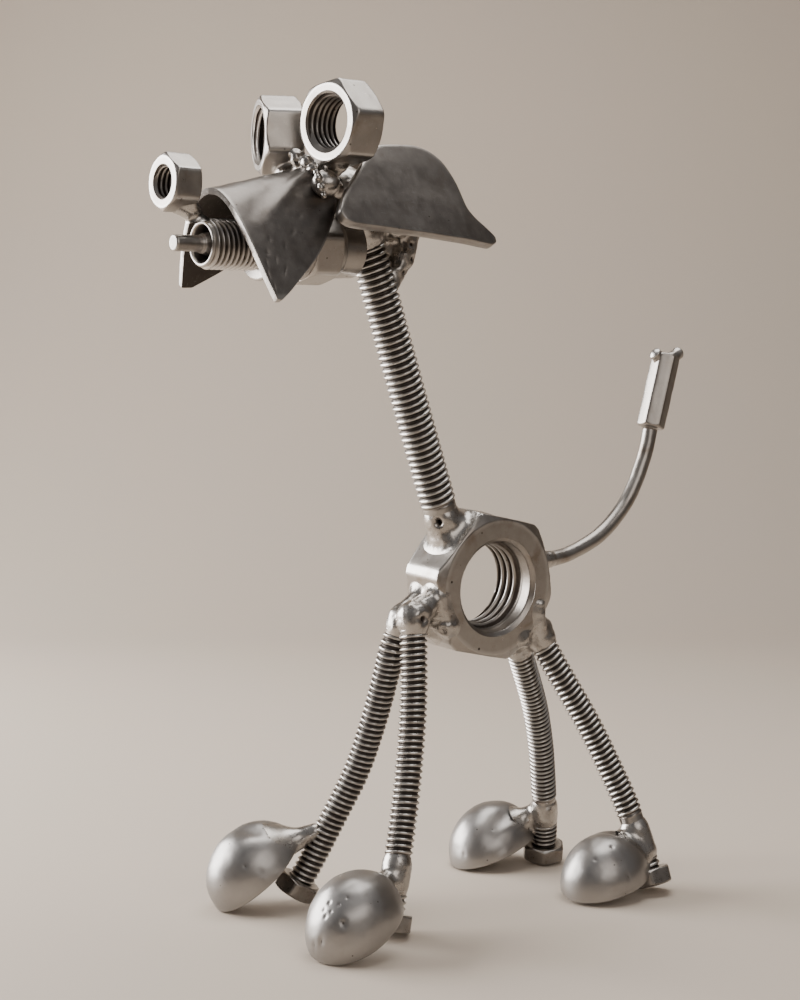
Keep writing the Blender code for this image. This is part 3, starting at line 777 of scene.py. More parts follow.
@dataclass
class HexBlank:
    """A hexagonal nut or bolt head with turned-off corners and softly rounded edges."""

    af: float
    thick: float
    bore: Bore | None = None
    face: float = 0.985
    angle: float = 26.0
    blunt: float = 0.975
    round_edge: float = 0.28
    lower_face: float | None = None
    dents: float = 0.05

    def angles(self) -> np.ndarray:
        """Sector angles, crowded at the six corners.

        Returns:
            Angles in radians.
        """
        stretches = ((0, 0.03, 5), (0.05, 0.14, 4), (0.2, 0.5236, 4))
        half = np.concatenate([np.linspace(*stretch) for stretch in stretches])
        side = np.concatenate([-half[::-1][:-1], half])
        return np.concatenate([side[:-1] + k * math.pi / 3 for k in range(6)])

    def side_radius(self, angles: np.ndarray, up: np.ndarray) -> np.ndarray:
        """Outer radius at angles and heights, the least of flats, corners and cones.

        Args:
            angles: One for each sector.
            up: One height for each ring.

        Returns:
            Radii in millimetres.
        """
        turn = (angles + math.pi / 6) % (math.pi / 3) - math.pi / 6
        flats = self.af / 2 / np.cos(math.pi / 6 - np.abs(turn))
        half = self.thick / 2
        slope = math.tan(math.radians(90 - self.angle))
        lower = self.lower_face or self.face
        cone_top = self.af / 2 * self.face + (half - up) * slope
        cone_low = self.af / 2 * lower + (half + up) * slope
        limit = np.full_like(flats, self.af / math.sqrt(3) * self.blunt)
        least = flats
        for other in (limit[None, :], cone_top[:, None], cone_low[:, None]):
            least = soft_min(least, other, self.round_edge)
        return least

    def rings(self) -> tuple[np.ndarray, np.ndarray, np.ndarray]:
        """Radii, heights and wear of the closed loop of rings.

        Returns:
            Three arrays, rings by sectors.
        """
        half = self.thick / 2
        angles = self.angles()
        bevel = self.round_edge * 0.5
        rim = half - bevel * 0.25
        low = np.concatenate([[rim], half - np.geomspace(bevel * 0.5, half * 0.55, 14)])
        heights = np.concatenate([low, np.linspace(half * 0.4, -half * 0.4, 5), -low[::-1]])
        side = self.side_radius(angles, heights)
        corner = self.af / math.sqrt(3)
        edge = ease(side, self.af / 2 + (corner - self.af / 2) * 0.70, corner * 0.96)
        wear_and_shade = 0.5 + 0.45 * edge
        top = self.af / 2 * self.face - bevel
        lower = self.af / 2 * (self.lower_face or self.face) - bevel
        inner = self.bore.sink / 2 if self.bore else 0.12
        radii = [side]
        ups = [np.repeat(heights[:, None], len(angles), 1)]
        wears = [wear_and_shade]

        def face_rings(reach: float, height: float, outward: bool) -> None:
            """Flat rings between the hole and the chamfer circle.

            Args:
                reach: The larger radius.
                height: Where the face lies.
                outward: Whether the rings run outwards.
            """
            steps = np.array([0.0, 0.06, 0.25, 0.5, 0.75, 0.94, 1.0])
            line = inner + (reach - inner) * (steps if outward else steps[::-1])
            at_rim = (steps if outward else steps[::-1]) > 0.9
            radii.append(np.repeat(line[:, None], len(angles), 1))
            ups.append(np.full((len(line), len(angles)), height))
            wears.append(np.repeat(np.where(at_rim, 0.85, 0.55)[:, None], len(angles), 1))

        face_rings(lower, -half, outward=False)
        if self.bore:
            hole, up, rubbed = self._bore_rings(angles)
            radii.append(hole)
            ups.append(up)
            wears.append(rubbed)
        face_rings(top, half, outward=True)
        return np.vstack(radii), np.vstack(ups), np.vstack(wears)

    def _bore_rings(self, angles: np.ndarray) -> tuple[np.ndarray, np.ndarray, np.ndarray]:
        """Rings up through the hole, from the lower face to the top one.

        Args:
            angles: One for each sector.

        Returns:
            Radii, heights and wear, rings by sectors.
        """
        bore = self.bore
        half = self.thick / 2
        count = int(self.thick / bore.pitch * 12)
        up = np.linspace(-half + 0.12, half - 0.12, count)
        depth = bore.pitch * bore.depth
        root = bore.crest / 2 + depth
        reach = (bore.sink - bore.crest) / 2
        cone_top = bore.sink / 2 - (half - 0.12 - up) / 0.8
        cone_low = bore.sink / 2 - (half - 0.12 + up) / 0.8
        phase = up[:, None] / bore.pitch - angles[None, :] / (2 * math.pi)
        start = half - reach * 0.8 - bore.plain
        strength = (1 - ease(up, start - 0.9 * bore.pitch, start))[:, None] if bore.plain else 1.0
        rise = thread_rise(phase, 0.06, 0.12) * strength
        wall = root - depth * rise
        radius = np.maximum(wall, np.maximum(cone_top, cone_low)[:, None])
        # the bore's thread roots get low values and the darkest colour: dirt, and painted shade in the
        # grooves
        worn = 0.05 + 0.75 * ease(rise, 0.6, 0.98) + 0.22 * (1 - strength)
        worn = np.where(radius > wall + 0.01, 0.45, worn)
        heights = np.repeat(up[:, None], len(angles), 1)
        return radius, heights, np.clip(worn, 0, 1)

    def build(self, name: str, frame: Matrix) -> bpy.types.Object:
        """Make the solid in a frame whose +Z is its axis and +X a corner's direction.

        Args:
            name: The object's name.
            frame: Where it stands, in metres.

        Returns:
            The object.
        """
        radii, ups, wear_and_shade = self.rings()
        angles = self.angles()
        local = np.stack([radii * np.cos(angles), radii * np.sin(angles), ups], -1) * MM
        turn = np.array(frame.to_3x3())
        points = local @ turn.T + np.array(frame.translation)
        away = points - np.array(frame.translation)
        away /= np.linalg.norm(away, axis=-1)[..., None]
        points += away * jitter(points, 4.0, self.dents, self.af)[..., None]
        closed = self.bore is not None
        return grid_object(name, points, wear_and_shade, loop=closed)


def turned_part(name: str, profile: Sequence[tuple[float, float]], frame: Matrix, sectors: int = 64,
                shape: Callable[[np.ndarray, np.ndarray, np.ndarray], tuple[np.ndarray, Any]] | None = None,
                step: float = 0.25, wear_and_shade: float = 0.55) -> bpy.types.Object:
    """A solid of revolution.

    Args:
        name: The object's name.
        profile: Radius and height pairs in millimetres along its outline.
        frame: A matrix whose +Z is the axis.
        sectors: Points around.
        shape: Gives new radii and wear to add, from radii, heights and angles.
        step: Longest distance between two rings, in millimetres.
        wear_and_shade: How rubbed it is on its plain stretches.

    Returns:
        The object.
    """
    outline = np.array(profile, float)
    dense = [outline[0]]
    for a, b in zip(outline, outline[1:]):
        count = max(1, int(np.linalg.norm(b - a) / step))
        dense += [a + (b - a) * (k + 1) / count for k in range(count)]
    line = np.array(dense)
    angles = np.linspace(0, 2 * math.pi, sectors, endpoint=False)
    radii = np.repeat(line[:, :1], sectors, 1)
    ups = np.repeat(line[:, 1:], sectors, 1)
    worn = np.full_like(radii, wear_and_shade)
    if shape is not None:
        radii, more = shape(radii, ups, angles)
        worn = worn + more
    turn_before = np.diff(line, axis=0, prepend=line[:1])
    turn_after = np.diff(line, axis=0, append=line[-1:])
    bent = turn_before[:, 0] * turn_after[:, 1] - turn_before[:, 1] * turn_after[:, 0]
    worn = worn + np.clip(np.abs(bent) * 3.0, 0, 0.35)[:, None]
    local = np.stack([radii * np.cos(angles), radii * np.sin(angles), ups], -1) * MM
    points = local @ np.array(frame.to_3x3()).T + np.array(frame.translation)
    return grid_object(name, points, np.clip(worn, 0, 1))


# Weld metal


@dataclass
class Lump:
    """One stretched ball of weld metal: place in metres, radii in millimetres, turn in degrees."""

    place: Vector
    radii: Triple
    turn: Triple = (0.0, 0.0, 0.0)

    def matrix(self, grow: float) -> Matrix:
        """The matrix that makes a unit ball into this lump, grown by some millimetres.

        Args:
            grow: Millimetres; small lumps grow less.

        Returns:
            The matrix, in metres.
        """
        more = grow * min(1.0, max(0.1, (min(self.radii) - 1.6) / 1.4))
        size = Matrix.Diagonal((*((r + more) * MM for r in self.radii), 1.0))
        return Matrix.Translation(self.place) @ self._spin() @ size

    def _spin(self) -> Matrix:
        """The lump's turn.

        Returns:
            The turn as a matrix.
        """
        x, y, z = (math.radians(v) for v in self.turn)
        return Matrix.Rotation(z, 4, "Z") @ Matrix.Rotation(y, 4, "Y") @ Matrix.Rotation(x, 4, "X")

    def balls(self, grow: float) -> list[Matrix]:
        """The balls that stand for it in the first rough mesh.

        Args:
            grow: Millimetres that they are grown by.

        Returns:
            A matrix for each ball.
        """
        return [self.matrix(grow)]

    def distance(self, points: np.ndarray) -> np.ndarray:
        """Distance from its surface, in millimetres.

        Args:
            points: Places in millimetres, one row each.

        Returns:
            One distance each, negative inside.
        """
        local = (points - np.array(self.place) / MM) @ np.array(self._spin().to_3x3())
        radii = np.array(self.radii)
        near = np.linalg.norm(local / radii, axis=1) + 1e-9
        slope = np.linalg.norm(local / radii ** 2, axis=1) + 1e-9
        return near * (near - 1) / slope


@dataclass
class Run:
    """A straight run of bead between two places in metres, with a radius at each in millimetres."""

    start: Vector
    end: Vector
    radius: float
    end_radius: float

    def balls(self, grow: float) -> list[Matrix]:
        """The balls that stand for it in the first rough mesh.

        Args:
            grow: Millimetres that they are grown by.

        Returns:
            A matrix for each ball.
        """
        count = max(2, int((self.end - self.start).length / (1.5 * MM)))
        made = []
        for k in range(count):
            t = k / (count - 1)
            size = self.radius + (self.end_radius - self.radius) * t
            made.append(Lump(self.start.lerp(self.end, t), (size,) * 3).matrix(grow))
        return made

    def distance(self, points: np.ndarray) -> np.ndarray:
        """Distance from its surface, in millimetres.

        Args:
            points: Places in millimetres, one row each.

        Returns:
            One distance each, negative inside.
        """
        a, b = np.array(self.start) / MM, np.array(self.end) / MM
        t = np.clip((points - a) @ (b - a) / ((b - a) @ (b - a)), 0, 1)
        away = np.linalg.norm(points - a - t[:, None] * (b - a), axis=1)
        return away - self.radius - (self.end_radius - self.radius) * t


@dataclass
class RodCore:
    """A stretch of a round rod that weld metal flows onto, in millimetres along its path."""

    path: Path
    radius: float
    low: float
    high: float

    def distance(self, points: np.ndarray) -> np.ndarray:
        """Distance from its surface, in millimetres.

        Args:
            points: Places in millimetres, one row each.

        Returns:
            One distance each, negative inside.
        """
        centre, _, _, _ = self.path.frames(np.arange(self.low, self.high, 0.5) * MM)
        least = np.full(len(points), 1e9)
        for spot in centre / MM:
            least = np.minimum(least, np.linalg.norm(points - spot, axis=1))
        return least - self.radius


@dataclass
class HexCore:
    """A hexagonal nut that weld metal flows onto."""

    frame: Matrix
    af: float
    thick: float
    face: float = 0.97
    hole: float = 0.0

    def distance(self, points: np.ndarray) -> np.ndarray:
        """Distance from its surface, in millimetres.

        Args:
            points: Places in millimetres, one row each.

        Returns:
            One distance each, negative inside.
        """
        local = (points - np.array(self.frame.translation) / MM) @ np.array(self.frame.to_3x3())
        away = np.abs(local[:, 2]) - self.thick / 2
        for k in range(6):
            turn = math.radians(30 + 60 * k)
            reach = local[:, 0] * math.cos(turn) + local[:, 1] * math.sin(turn)
            away = np.maximum(away, reach - self.af / 2)
        slope = math.tan(math.radians(28))
        rim = np.linalg.norm(local[:, :2], axis=1) - self.af / 2 * self.face
        cone = (np.abs(local[:, 2]) - self.thick / 2 + rim * slope) / math.hypot(1, slope)
        solid = np.maximum(away, np.where(rim > 0, cone, away))
        return np.maximum(solid, self.hole - np.linalg.norm(local[:, :2], axis=1))


@dataclass
class DomeCore:
    """A half-egg foot that weld metal flows onto."""

    frame: Matrix
    radii: Triple

    def distance(self, points: np.ndarray) -> np.ndarray:
        """Distance from its surface, in millimetres.

        Args:
            points: Places in millimetres, one row each.

        Returns:
            One distance each, negative inside.
        """
        local = (points - np.array(self.frame.translation) / MM) @ np.array(self.frame.to_3x3())
        near = np.linalg.norm(local / self.radii, axis=1) + 1e-9
        slope = np.linalg.norm(local / np.array(self.radii) ** 2, axis=1) + 1e-9
        return np.maximum(near * (near - 1) / slope, -local[:, 2])


@dataclass
class Bead:
    """A weld: runs and lumps melted together and onto the pieces they hold."""

    name: str
    metal: list[Any]
    replaces: tuple[str, ...]
    cores: list[Any] = field(default_factory=list)
    blend: float = 1.6
    flow: float = 3.5
    sink: float = 0.20
    voxel: float = 0.34
    rough: float = 0.20
    pits: tuple[tuple[Vector, float, float], ...] = ()

    def build(self) -> bpy.types.Object:
        """Melt the metal into one mesh.

        Returns:
            The weld as an object.
        """
        balls = []
        grow = self.flow * 0.75 if self.cores else 0.1
        for matrix in (m for shape in self.metal for m in shape.balls(grow)):
            bpy.ops.mesh.primitive_uv_sphere_add(segments=24, ring_count=16, radius=1.0)
            ball = bpy.context.active_object
            ball.data.transform(matrix)
            balls.append(ball)
        weld = joined(self.name, balls)
        remesh = weld.modifiers.new("melt", "REMESH")
        remesh.mode = "VOXEL"
        remesh.voxel_size = self.voxel * MM
        applied(weld)
        for relax in (3, 2, 0):
            self._settle(weld.data)
            if relax:
                soften = weld.modifiers.new("relax", "SMOOTH")
                soften.iterations = relax
                applied(weld)
        self._roughen(weld.data)
        return weld

    def _field(self, points: np.ndarray) -> np.ndarray:
        """Distance from the run-together surface, in millimetres.

        Args:
            points: Places in millimetres, one row each.

        Returns:
            One distance each, negative inside.
        """
        total = self.metal[0].distance(points)
        for shape in self.metal[1:]:
            total = soft_min(total, shape.distance(points), self.blend)
        for core in self.cores:
            total = soft_min(total, core.distance(points) + self.sink, self.flow)
        return total

    def _settle(self, mesh: bpy.types.Mesh) -> None:
        """Move the points onto the run-together surface.

        Args:
            mesh: The rough mesh.
        """
        points = mesh_points(mesh) / MM
        step = 0.04
        for _ in range(6):
            value = self._field(points)
            slopes = [self._field(points + step * axis) - value for axis in np.eye(3)]
            slope = np.stack(slopes, -1) / step
            move = value / np.maximum((slope ** 2).sum(1), 0.2)
            reach = np.clip(move, -0.8, 0.8) * (value > -1.6 * self.flow)
            points = points - slope * reach[:, None]
        mesh.vertices.foreach_set("co", (points * MM).astype(np.float32).reshape(-1))
        mesh.update()

    def _roughen(self, mesh: bpy.types.Mesh) -> None:
        """Give the surface ripples and pits, and store how rubbed it is; the pits are darkened too, partly
        as painted shade.

        Args:
            mesh: The settled mesh.
        """
        points = mesh_points(mesh)
        flat = np.zeros(len(points) * 3, np.float32)
        mesh.vertex_normals.foreach_get("vector", flat)
        normals = flat.reshape(-1, 3).astype(float)
        wave = jitter(points, 3.4, self.rough, 3.1) + jitter(points, 1.3, self.rough * 0.4, 7.7)
        wear_and_shade = 0.62 + wave / (MM * max(self.rough, 0.05)) * 0.12
        for core in self.cores:
            wave = wave * ease(core.distance(points / MM), 0.0, 0.6)
        for spot, radius, depth in self.pits:
            away = np.linalg.norm(points - np.array(spot), axis=1) / (radius * MM)
            hollow = np.exp(-away ** 2)
            wave = wave - hollow * depth * MM
            # pits are darkened: pitting in the weld, and painted shade where a deep pit stands for a shaded
            # hole
            wear_and_shade = wear_and_shade - hollow * 0.75
        moved = points + normals * wave[:, None]
        mesh.vertices.foreach_set("co", moved.astype(np.float32).reshape(-1))
        set_wear_and_shade(mesh, np.clip(wear_and_shade, 0, 1))
        mesh.update()


# Dressing


MATERIALS: dict[Slot, bpy.types.Material] = {}


def dress(obj: bpy.types.Object, slot: Slot, nodes: Sequence[str],
          sharp: float | None = None) -> bpy.types.Object:
    """Give a piece its finish, its place in the frame and its log line.

    Args:
        obj: The piece.
        slot: Its finish.
        nodes: The CAD nodes it stands for.
        sharp: An angle in degrees over which edges stay sharp, or None for all smooth.

    Returns:
        The piece.
    """
    obj.data.materials.clear()
    obj.data.materials.append(MATERIALS[slot])
    obj.data.shade_smooth()
    if sharp is not None:
        obj.data.set_sharp_from_angle(angle=math.radians(sharp))
    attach(obj, "root")
    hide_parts(*nodes)
    LOG.info("%s: %d points for %s", obj.name, len(obj.data.vertices), ", ".join(nodes))
    return obj


# The body


@dataclass
class BodyNut:
    """The large nut that is the dog's body, with its bore across the body."""

    pitch: float = 2.85
    crest: float = 25.2
    sink: float = 31.0
    plain: float = 2.2
    turn: float = 12.4
    roll: float = 3.5

    def frame(self) -> Matrix:
        """The nut's frame: +Z out of the left face, +X to its raised front corner.

        Returns:
            The frame in metres.
        """
        roll, turn = math.radians(self.roll), math.radians(self.turn)
        middle = LAYOUT.at(LAYOUT.nut_face - LAYOUT.nut_thick / 2, 0, LAYOUT.nut_high)
        axis = (math.cos(roll), 0, -math.sin(roll))
        return axes(middle, axis, side=(0, -math.cos(turn), math.sin(turn)))

    def build(self) -> None:
        """Make the nut."""
        bore = Bore(self.crest, self.sink, self.pitch, self.plain)
        blank = HexBlank(LAYOUT.nut_af, LAYOUT.nut_thick, bore, blunt=0.97, round_edge=0.35, dents=0.10)
        nut = blank.build("body_nut_steel", self.frame())
        dress(nut, Slot.BARE, ["body_nut"], 50)


# Legs, neck and tail


@dataclass
class Leg:
    """A bolt bent into a leg: threaded shank down to a hexagonal head on the ground."""

    key: str
    hip: tuple[Triple, Triple]
    path: tuple[Triple, ...]
    pitch: float = 1.84
    diameter: float = 8.5
    head_af: float = 13.0
    head_high: float = 5.3
    bare: tuple[tuple[float, float], ...] = ()
    head_spin: float = 10.0

    def points(self) -> list[Vector]:
        """The middle line's points from hip to head, in metres."""
        return [LAYOUT.on_body(*p) for p in self.hip] + [LAYOUT.at(*p) for p in self.path]

    def line(self) -> Path:
        """The middle line."""
        return Path(self.points())

    def down(self) -> Vector:
        """The direction in which the shank runs into its head."""
        points = self.points()
        return (points[-1] - points[-2]).normalized()

    def head_frame(self) -> Matrix:
        """The bolt head's frame, +Z towards the ground."""
        down = self.down()
        return axes(self.points()[-1] - down * self.head_high / 2 * MM, down, self.head_spin + 90)

    def build(self) -> None:
        """Wind the shank and add the head."""
        path = self.line()
        total = path.length / MM
        bare = tuple((total - high, total - low) for low, high in self.bare)
        thread = Thread(self.diameter, self.pitch, self.diameter * 0.09, bare)
        shank = thread.build(f"{self.key}_shank", path, 0.0, total - self.head_high * 0.5)
        head = HexBlank(self.head_af, self.head_high, face=0.93, lower_face=0.95, angle=30, blunt=0.96,
                        round_edge=0.35, dents=0.12).build(f"{self.key}_head", self.head_frame())
        leg = joined(f"leg_{self.key}_bolt", [shank, head])
        dress(leg, Slot.THREAD, [f"leg_{self.key}"], 50)


def make_legs() -> dict[str, Leg]:
    """The four legs by name.

    Returns:
        Each leg's places and bare stretches.
    """
    return {
        "front_left": Leg("front_left", ((4.6, -13.8, 10.0), (5.6, -26.3, 13.5)),
                          ((7.5, -32.9, 67.5), (9.5, -36.0, 50.0), (11.8, -40.3, 33.0), (14.2, -45.0, 18.0),
                           (15.8, -49.0, 1.7)), bare=((13.5, 21.0),)),
        "front_right": Leg("front_right", ((-3.6, -18.9, 7.9), (-5.4, -29.8, 13.8)),
                           ((-8.0, -31.1, 73.5), (-12.6, -32.6, 58.1), (-17.4, -35.5, 42.3),
                            (-22.5, -40.9, 27.1), (-27.2, -46.6, 12.4), (-30.2, -50.9, 3.4))),
        "rear_left": Leg("rear_left", ((3.8, -141.3, 4.9), (5.2, -135.9, 10.0)),
                         ((8.8, 27.5, 66.7), (13.0, 33.6, 53.8), (17.2, 38.6, 40.6), (21.6, 42.7, 27.5),
                          (26.4, 46.0, 11.8), (29.4, 46.8, 2.2)), bare=((9.5, 22.5),)),
        "rear_right": Leg("rear_right", ((-2.8, -131.5, 5.1), (-4.0, -128.6, 11.2)),
                          ((-7.9, 29.6, 57.6), (-11.3, 35.7, 42.8), (-14.7, 40.2, 28.0),
                           (-18.0, 43.9, 13.0), (-20.3, 45.2, 1.4)), pitch=1.55, bare=((15.5, 22.0),)),
    }


@dataclass
class Neck:
    """The stud that carries the head."""

    diameter: float = 11.3
    pitch: float = 2.0
    bow: float = -0.2

    def ends(self) -> tuple[Vector, Vector]:
        """Where it leaves the body and where it ends under the crown."""
        return LAYOUT.on_body(0, 54.8, 6.8), LAYOUT.on_head(0, 56.3, 5.0)

    def line(self) -> Path:
        """Its middle line, slightly bowed.

        Returns:
            The line from the body nut up to the head.
        """
        low, high = self.ends()
        middle = low.lerp(high, 0.47) + Vector((0, self.bow * MM, 0))
        return Path([low, middle, high])

    def build(self) -> None:
        """Wind the stud."""
        thread = Thread(self.diameter, self.pitch, self.diameter * 0.075, ((-1.0, 2.0),), sectors=46)
        rod = thread.build("neck_stud", self.line())
        dress(rod, Slot.THREAD, ["neck_rod"], 50)


@dataclass
class Tail:
    """A bent round rod with a crimped hexagonal sleeve on its end."""

    diameter: float = 4.9
    sleeve_af: float = 8.4
    sleeve_long: float = 25.0
    route: tuple[tuple[float, float], ...] = (
        (0.0, 0.0), (6.6, 0.3), (14.9, 1.6), (25.6, 5.5), (32.8, 10.0), (40.0, 16.9), (45.0, 24.7),
        (48.7, 32.7), (51.0, 40.9))
    lean: tuple[float, float] = (8.0, 26.1)

    def root(self) -> Vector:
        """Where the rod meets the body nut."""
        return LAYOUT.on_body(0, 166.7, 2.0)

    def line(self) -> Path:
        """The rod's middle line."""
        root = self.root()
        return Path([root + Vector((0, y, z)) * MM for y, z in self.route])

    def build(self) -> None:
        """Make the rod and the sleeve."""
        root = self.root()
        path = self.line()
        places = np.arange(0.0, path.length / MM, 0.6)
        angles = np.linspace(0, 2 * math.pi, 36, endpoint=False)
        centre, normal, across, _ = path.frames(places * MM)
        radii = np.full((len(places), len(angles)), self.diameter / 2 * MM)
        points = round_grid(centre, normal, across, radii, angles)
        points += (points - centre[:, None]) * jitter(points, 5.0, 0.05 / MM, 2.0)[..., None]
        rod = grid_object("tail_rod_steel", points, np.full(points.shape[:2], 0.5))
        dress(rod, Slot.BARE, ["tail_rod"])
        self._sleeve(root)

    def _sleeve(self, root: Vector) -> None:
        """The hexagonal sleeve with two rolled horns on top.

        Args:
            root: Where the rod meets the body nut.
        """
        axis = Vector((0, *self.lean)).normalized()
        low = root + Vector((0, self.route[-1][0], self.route[-1][1] + 0.4)) * MM
        frame = axes(low + axis * self.sleeve_long / 2 * MM, axis, 20.0 + 90.0)
        blank = HexBlank(self.sleeve_af, self.sleeve_long, face=0.96, angle=40, blunt=0.97,
                         round_edge=0.45, dents=0.16)
        sleeve = blank.build("sleeve", frame)
        horns = self._horns(low + axis * (self.sleeve_long + 0.4) * MM, axis)
        tip = joined("tail_sleeve", [sleeve, *horns])
        dress(tip, Slot.BARE, ["tail_tip"], 50)

    def _horns(self, top: Vector, axis: Vector) -> list[bpy.types.Object]:
        """Two rolled ends that stand out fore and aft, with a saddle between them.

        Args:
            top: The middle of the sleeve's end.
            axis: The sleeve's direction.

        Returns:
            The two horns.
        """
        made = []
        ways = (("front", Vector((0, -1, 0.10)), 6.4), ("rear", Vector((0, 1, 0.12)), 6.6))
        for name, way, reach in ways:
            path = Path([top - axis * 5.0 * MM, top + way * reach * 0.42 * MM - axis * 2.0 * MM,
                         top + way * reach * MM + axis * 0.2 * MM])
            places = np.linspace(0, path.length, 30)
            angles = np.linspace(0, 2 * math.pi, 28, endpoint=False)
            centre, normal, across, _ = path.frames(places)
            t = places / path.length
            radius = 3.2 - 1.2 * ease(t, 0.1, 0.75) + 0.15 * ease(t, 0.75, 0.92)
            radius = radius * np.sqrt(np.clip(1 - ease(t, 0.84, 1.0) ** 2 * 0.9, 0.05, 1))
            radii = np.repeat(radius[:, None], len(angles), 1) * MM
            points = round_grid(centre, normal, across, radii, angles)
            points += (points - centre[:, None]) * jitter(points, 2.0, 0.10 / MM, 5.0)[..., None]
            wear_and_shade = np.repeat((0.5 + 0.4 * ease(t, 0.6, 1.0))[:, None], len(angles), 1)
            made.append(grid_object(f"horn_{name}", points, wear_and_shade))
        return made


# Feet


@dataclass
class Foot:
    """A hollow half egg, open underneath, leaning on its toe, with a pressed valley at its heel."""

    key: str
    spot: tuple[float, float]
    yaw: float
    lift: float
    roll: float
    up: float = 0.0
    long: float = 33.2
    wide: float = 26.3
    high: float = 15.0
    wall: float = 1.7
    valley: float = 0.16
    valley_at: tuple[float, float] = (0.62, -0.18)
    valley_size: tuple[float, float] = (0.17, 0.55)
    valley_turn: float = 25.0
    pits: tuple[Triple, ...] = ()
    seed: float = 1.0
    rows: int = 84
    inner_rows: int = 22
    sectors: int = 150

    def frame(self) -> Matrix:
        """The foot's own frame: +X to the heel, +Y to the dog's right, +Z to the crown.

        Returns:
            The frame in metres.
        """
        spin = Matrix.Rotation(math.radians(self.yaw + 90), 4, "Z")
        tilt = Matrix.Rotation(math.radians(-self.lift), 4, "Y")
        lean = Matrix.Rotation(math.radians(-self.roll), 4, "X")
        turn = spin @ tilt @ lean
        around = np.linspace(0, 2 * math.pi, 90)
        below = np.full_like(around, -0.3)
        rim = np.stack([self.long / 2 * np.cos(around), self.wide / 2 * np.sin(around), below], -1)
        lowest = (rim @ np.array(turn.to_3x3()).T)[:, 2].min() - 0.1
        sink = LAYOUT.shift.z + (lowest - self.up) * MM
        return Matrix.Translation(LAYOUT.at(*self.spot, 0) - Vector((0, 0, sink))) @ turn

    def pressed(self, a: np.ndarray, b: np.ndarray) -> np.ndarray:
        """Share of the height that is pressed in at places on the dome.

        Args:
            a: Places along the foot, -1 at the toe.
            b: Places across it.

        Returns:
            The share.
        """
        turn = math.radians(self.valley_turn)
        u, v = a - self.valley_at[0], b - self.valley_at[1]
        along = u * math.cos(turn) + v * math.sin(turn)
        aside = -u * math.sin(turn) + v * math.cos(turn)
        length, width = self.valley_size
        return self.valley * np.exp(-(along / length) ** 2 - (aside / width) ** 2)

    def build(self) -> None:
        """Make the shell."""
        rows, sectors = self.rows, self.sectors
        polar = np.linspace(0.012, 1.0, rows)[:, None] * math.pi / 2
        around = np.linspace(0, 2 * math.pi, sectors, endpoint=False)[None, :]
        a = np.sin(polar) * np.cos(around)
        b = np.sin(polar) * np.sin(around)
        c = np.cos(polar) * np.ones_like(around)
        outer = self._dome(a, b, c, 0.0)
        inner = self._dome(a, b, c, self.wall)[np.linspace(0, rows - 1, self.inner_rows).astype(int)]
        lip = self._lip(outer[-1], inner[-1])
        points = np.concatenate([outer, lip, inner[::-1]], 0)
        wear_and_shade = np.concatenate([self._dome_wear_and_shade(a, b, polar), np.full((len(lip), sectors), 0.8),
                               np.full(inner.shape[:2], 0.30)], 0)
        frame = self.frame()
        points = points @ np.array(frame.to_3x3()).T + np.array(frame.translation)
        foot = grid_object(f"foot_{self.key}_shell", points, np.clip(wear_and_shade, 0, 1))
        dress(foot, Slot.CAST, [f"foot_{self.key}"])

    def _dome(self, a: np.ndarray, b: np.ndarray, c: np.ndarray, inward: float) -> np.ndarray:
        """Points of the dome, moved inward by a wall's thickness, in metres.

        Args:
            a: Unit places along the foot.
            b: Unit places across it.
            c: Unit heights.
            inward: Millimetres inward; 0 is the outer skin with its dents.

        Returns:
            Rings by sectors by three numbers.
        """
        half = np.array([self.long / 2 - inward, self.wide / 2 - inward, self.high - inward])
        press = 1 - self.pressed(a, b)
        base = np.stack([a * half[0], b * half[1], c * half[2] * press], -1)
        if inward:
            return base * MM
        away = np.stack([a / half[0], b / half[1], c / half[2]], -1)
        away /= np.linalg.norm(away, axis=-1)[..., None]
        swell = jitter(base * MM, 9.0, 0.32, self.seed) + jitter(base * MM, 3.2, 0.07, self.seed + 5)
        for pa, pb, size in self.pits:
            near = ((a - pa) * half[0]) ** 2 + ((b - pb) * half[1]) ** 2
            swell = swell - 0.42 * size * MM * np.exp(-near / size ** 2)
        return base * MM + away * swell[..., None]

    @staticmethod
    def _lip(outer: np.ndarray, inner: np.ndarray) -> np.ndarray:
        """Rounded rings between the outer and the inner edge.

        Args:
            outer: The outer edge's points.
            inner: The inner edge's points.

        Returns:
            Rings by sectors by three numbers.
        """
        steps = np.array([0.12, 0.3, 0.5, 0.7, 0.88])
        drop = 0.35 * MM * np.sin(steps * math.pi)
        rings = outer[None] * (1 - steps)[:, None, None] + inner[None] * steps[:, None, None]
        rings[..., 2] -= drop[:, None]
        return rings

    def _dome_wear_and_shade(self, a: np.ndarray, b: np.ndarray, polar: np.ndarray) -> np.ndarray:
        """Brighter towards the toe and on the lower rim, duller towards the heel and in pits, and darker in
        the pressed valley as painted shade.

        Args:
            a: Unit places along the foot.
            b: Unit places across it.
            polar: Angles from the crown.

        Returns:
            Wear, rings by sectors.
        """
        # painted shade in the pressed valley; the heel side is also made duller
        wear_and_shade = 0.62 - 1.1 * self.pressed(a, b) - 0.10 * ease(a, 0.2, 0.9)
        wear_and_shade = wear_and_shade + 0.2 * ease(polar, 1.50, 1.57)
        for pa, pb, size in self.pits:
            near = ((a - pa) * self.long / 2) ** 2 + ((b - pb) * self.wide / 2) ** 2
            wear_and_shade = wear_and_shade - 0.55 * np.exp(-near / (size * 0.7) ** 2)
        return wear_and_shade


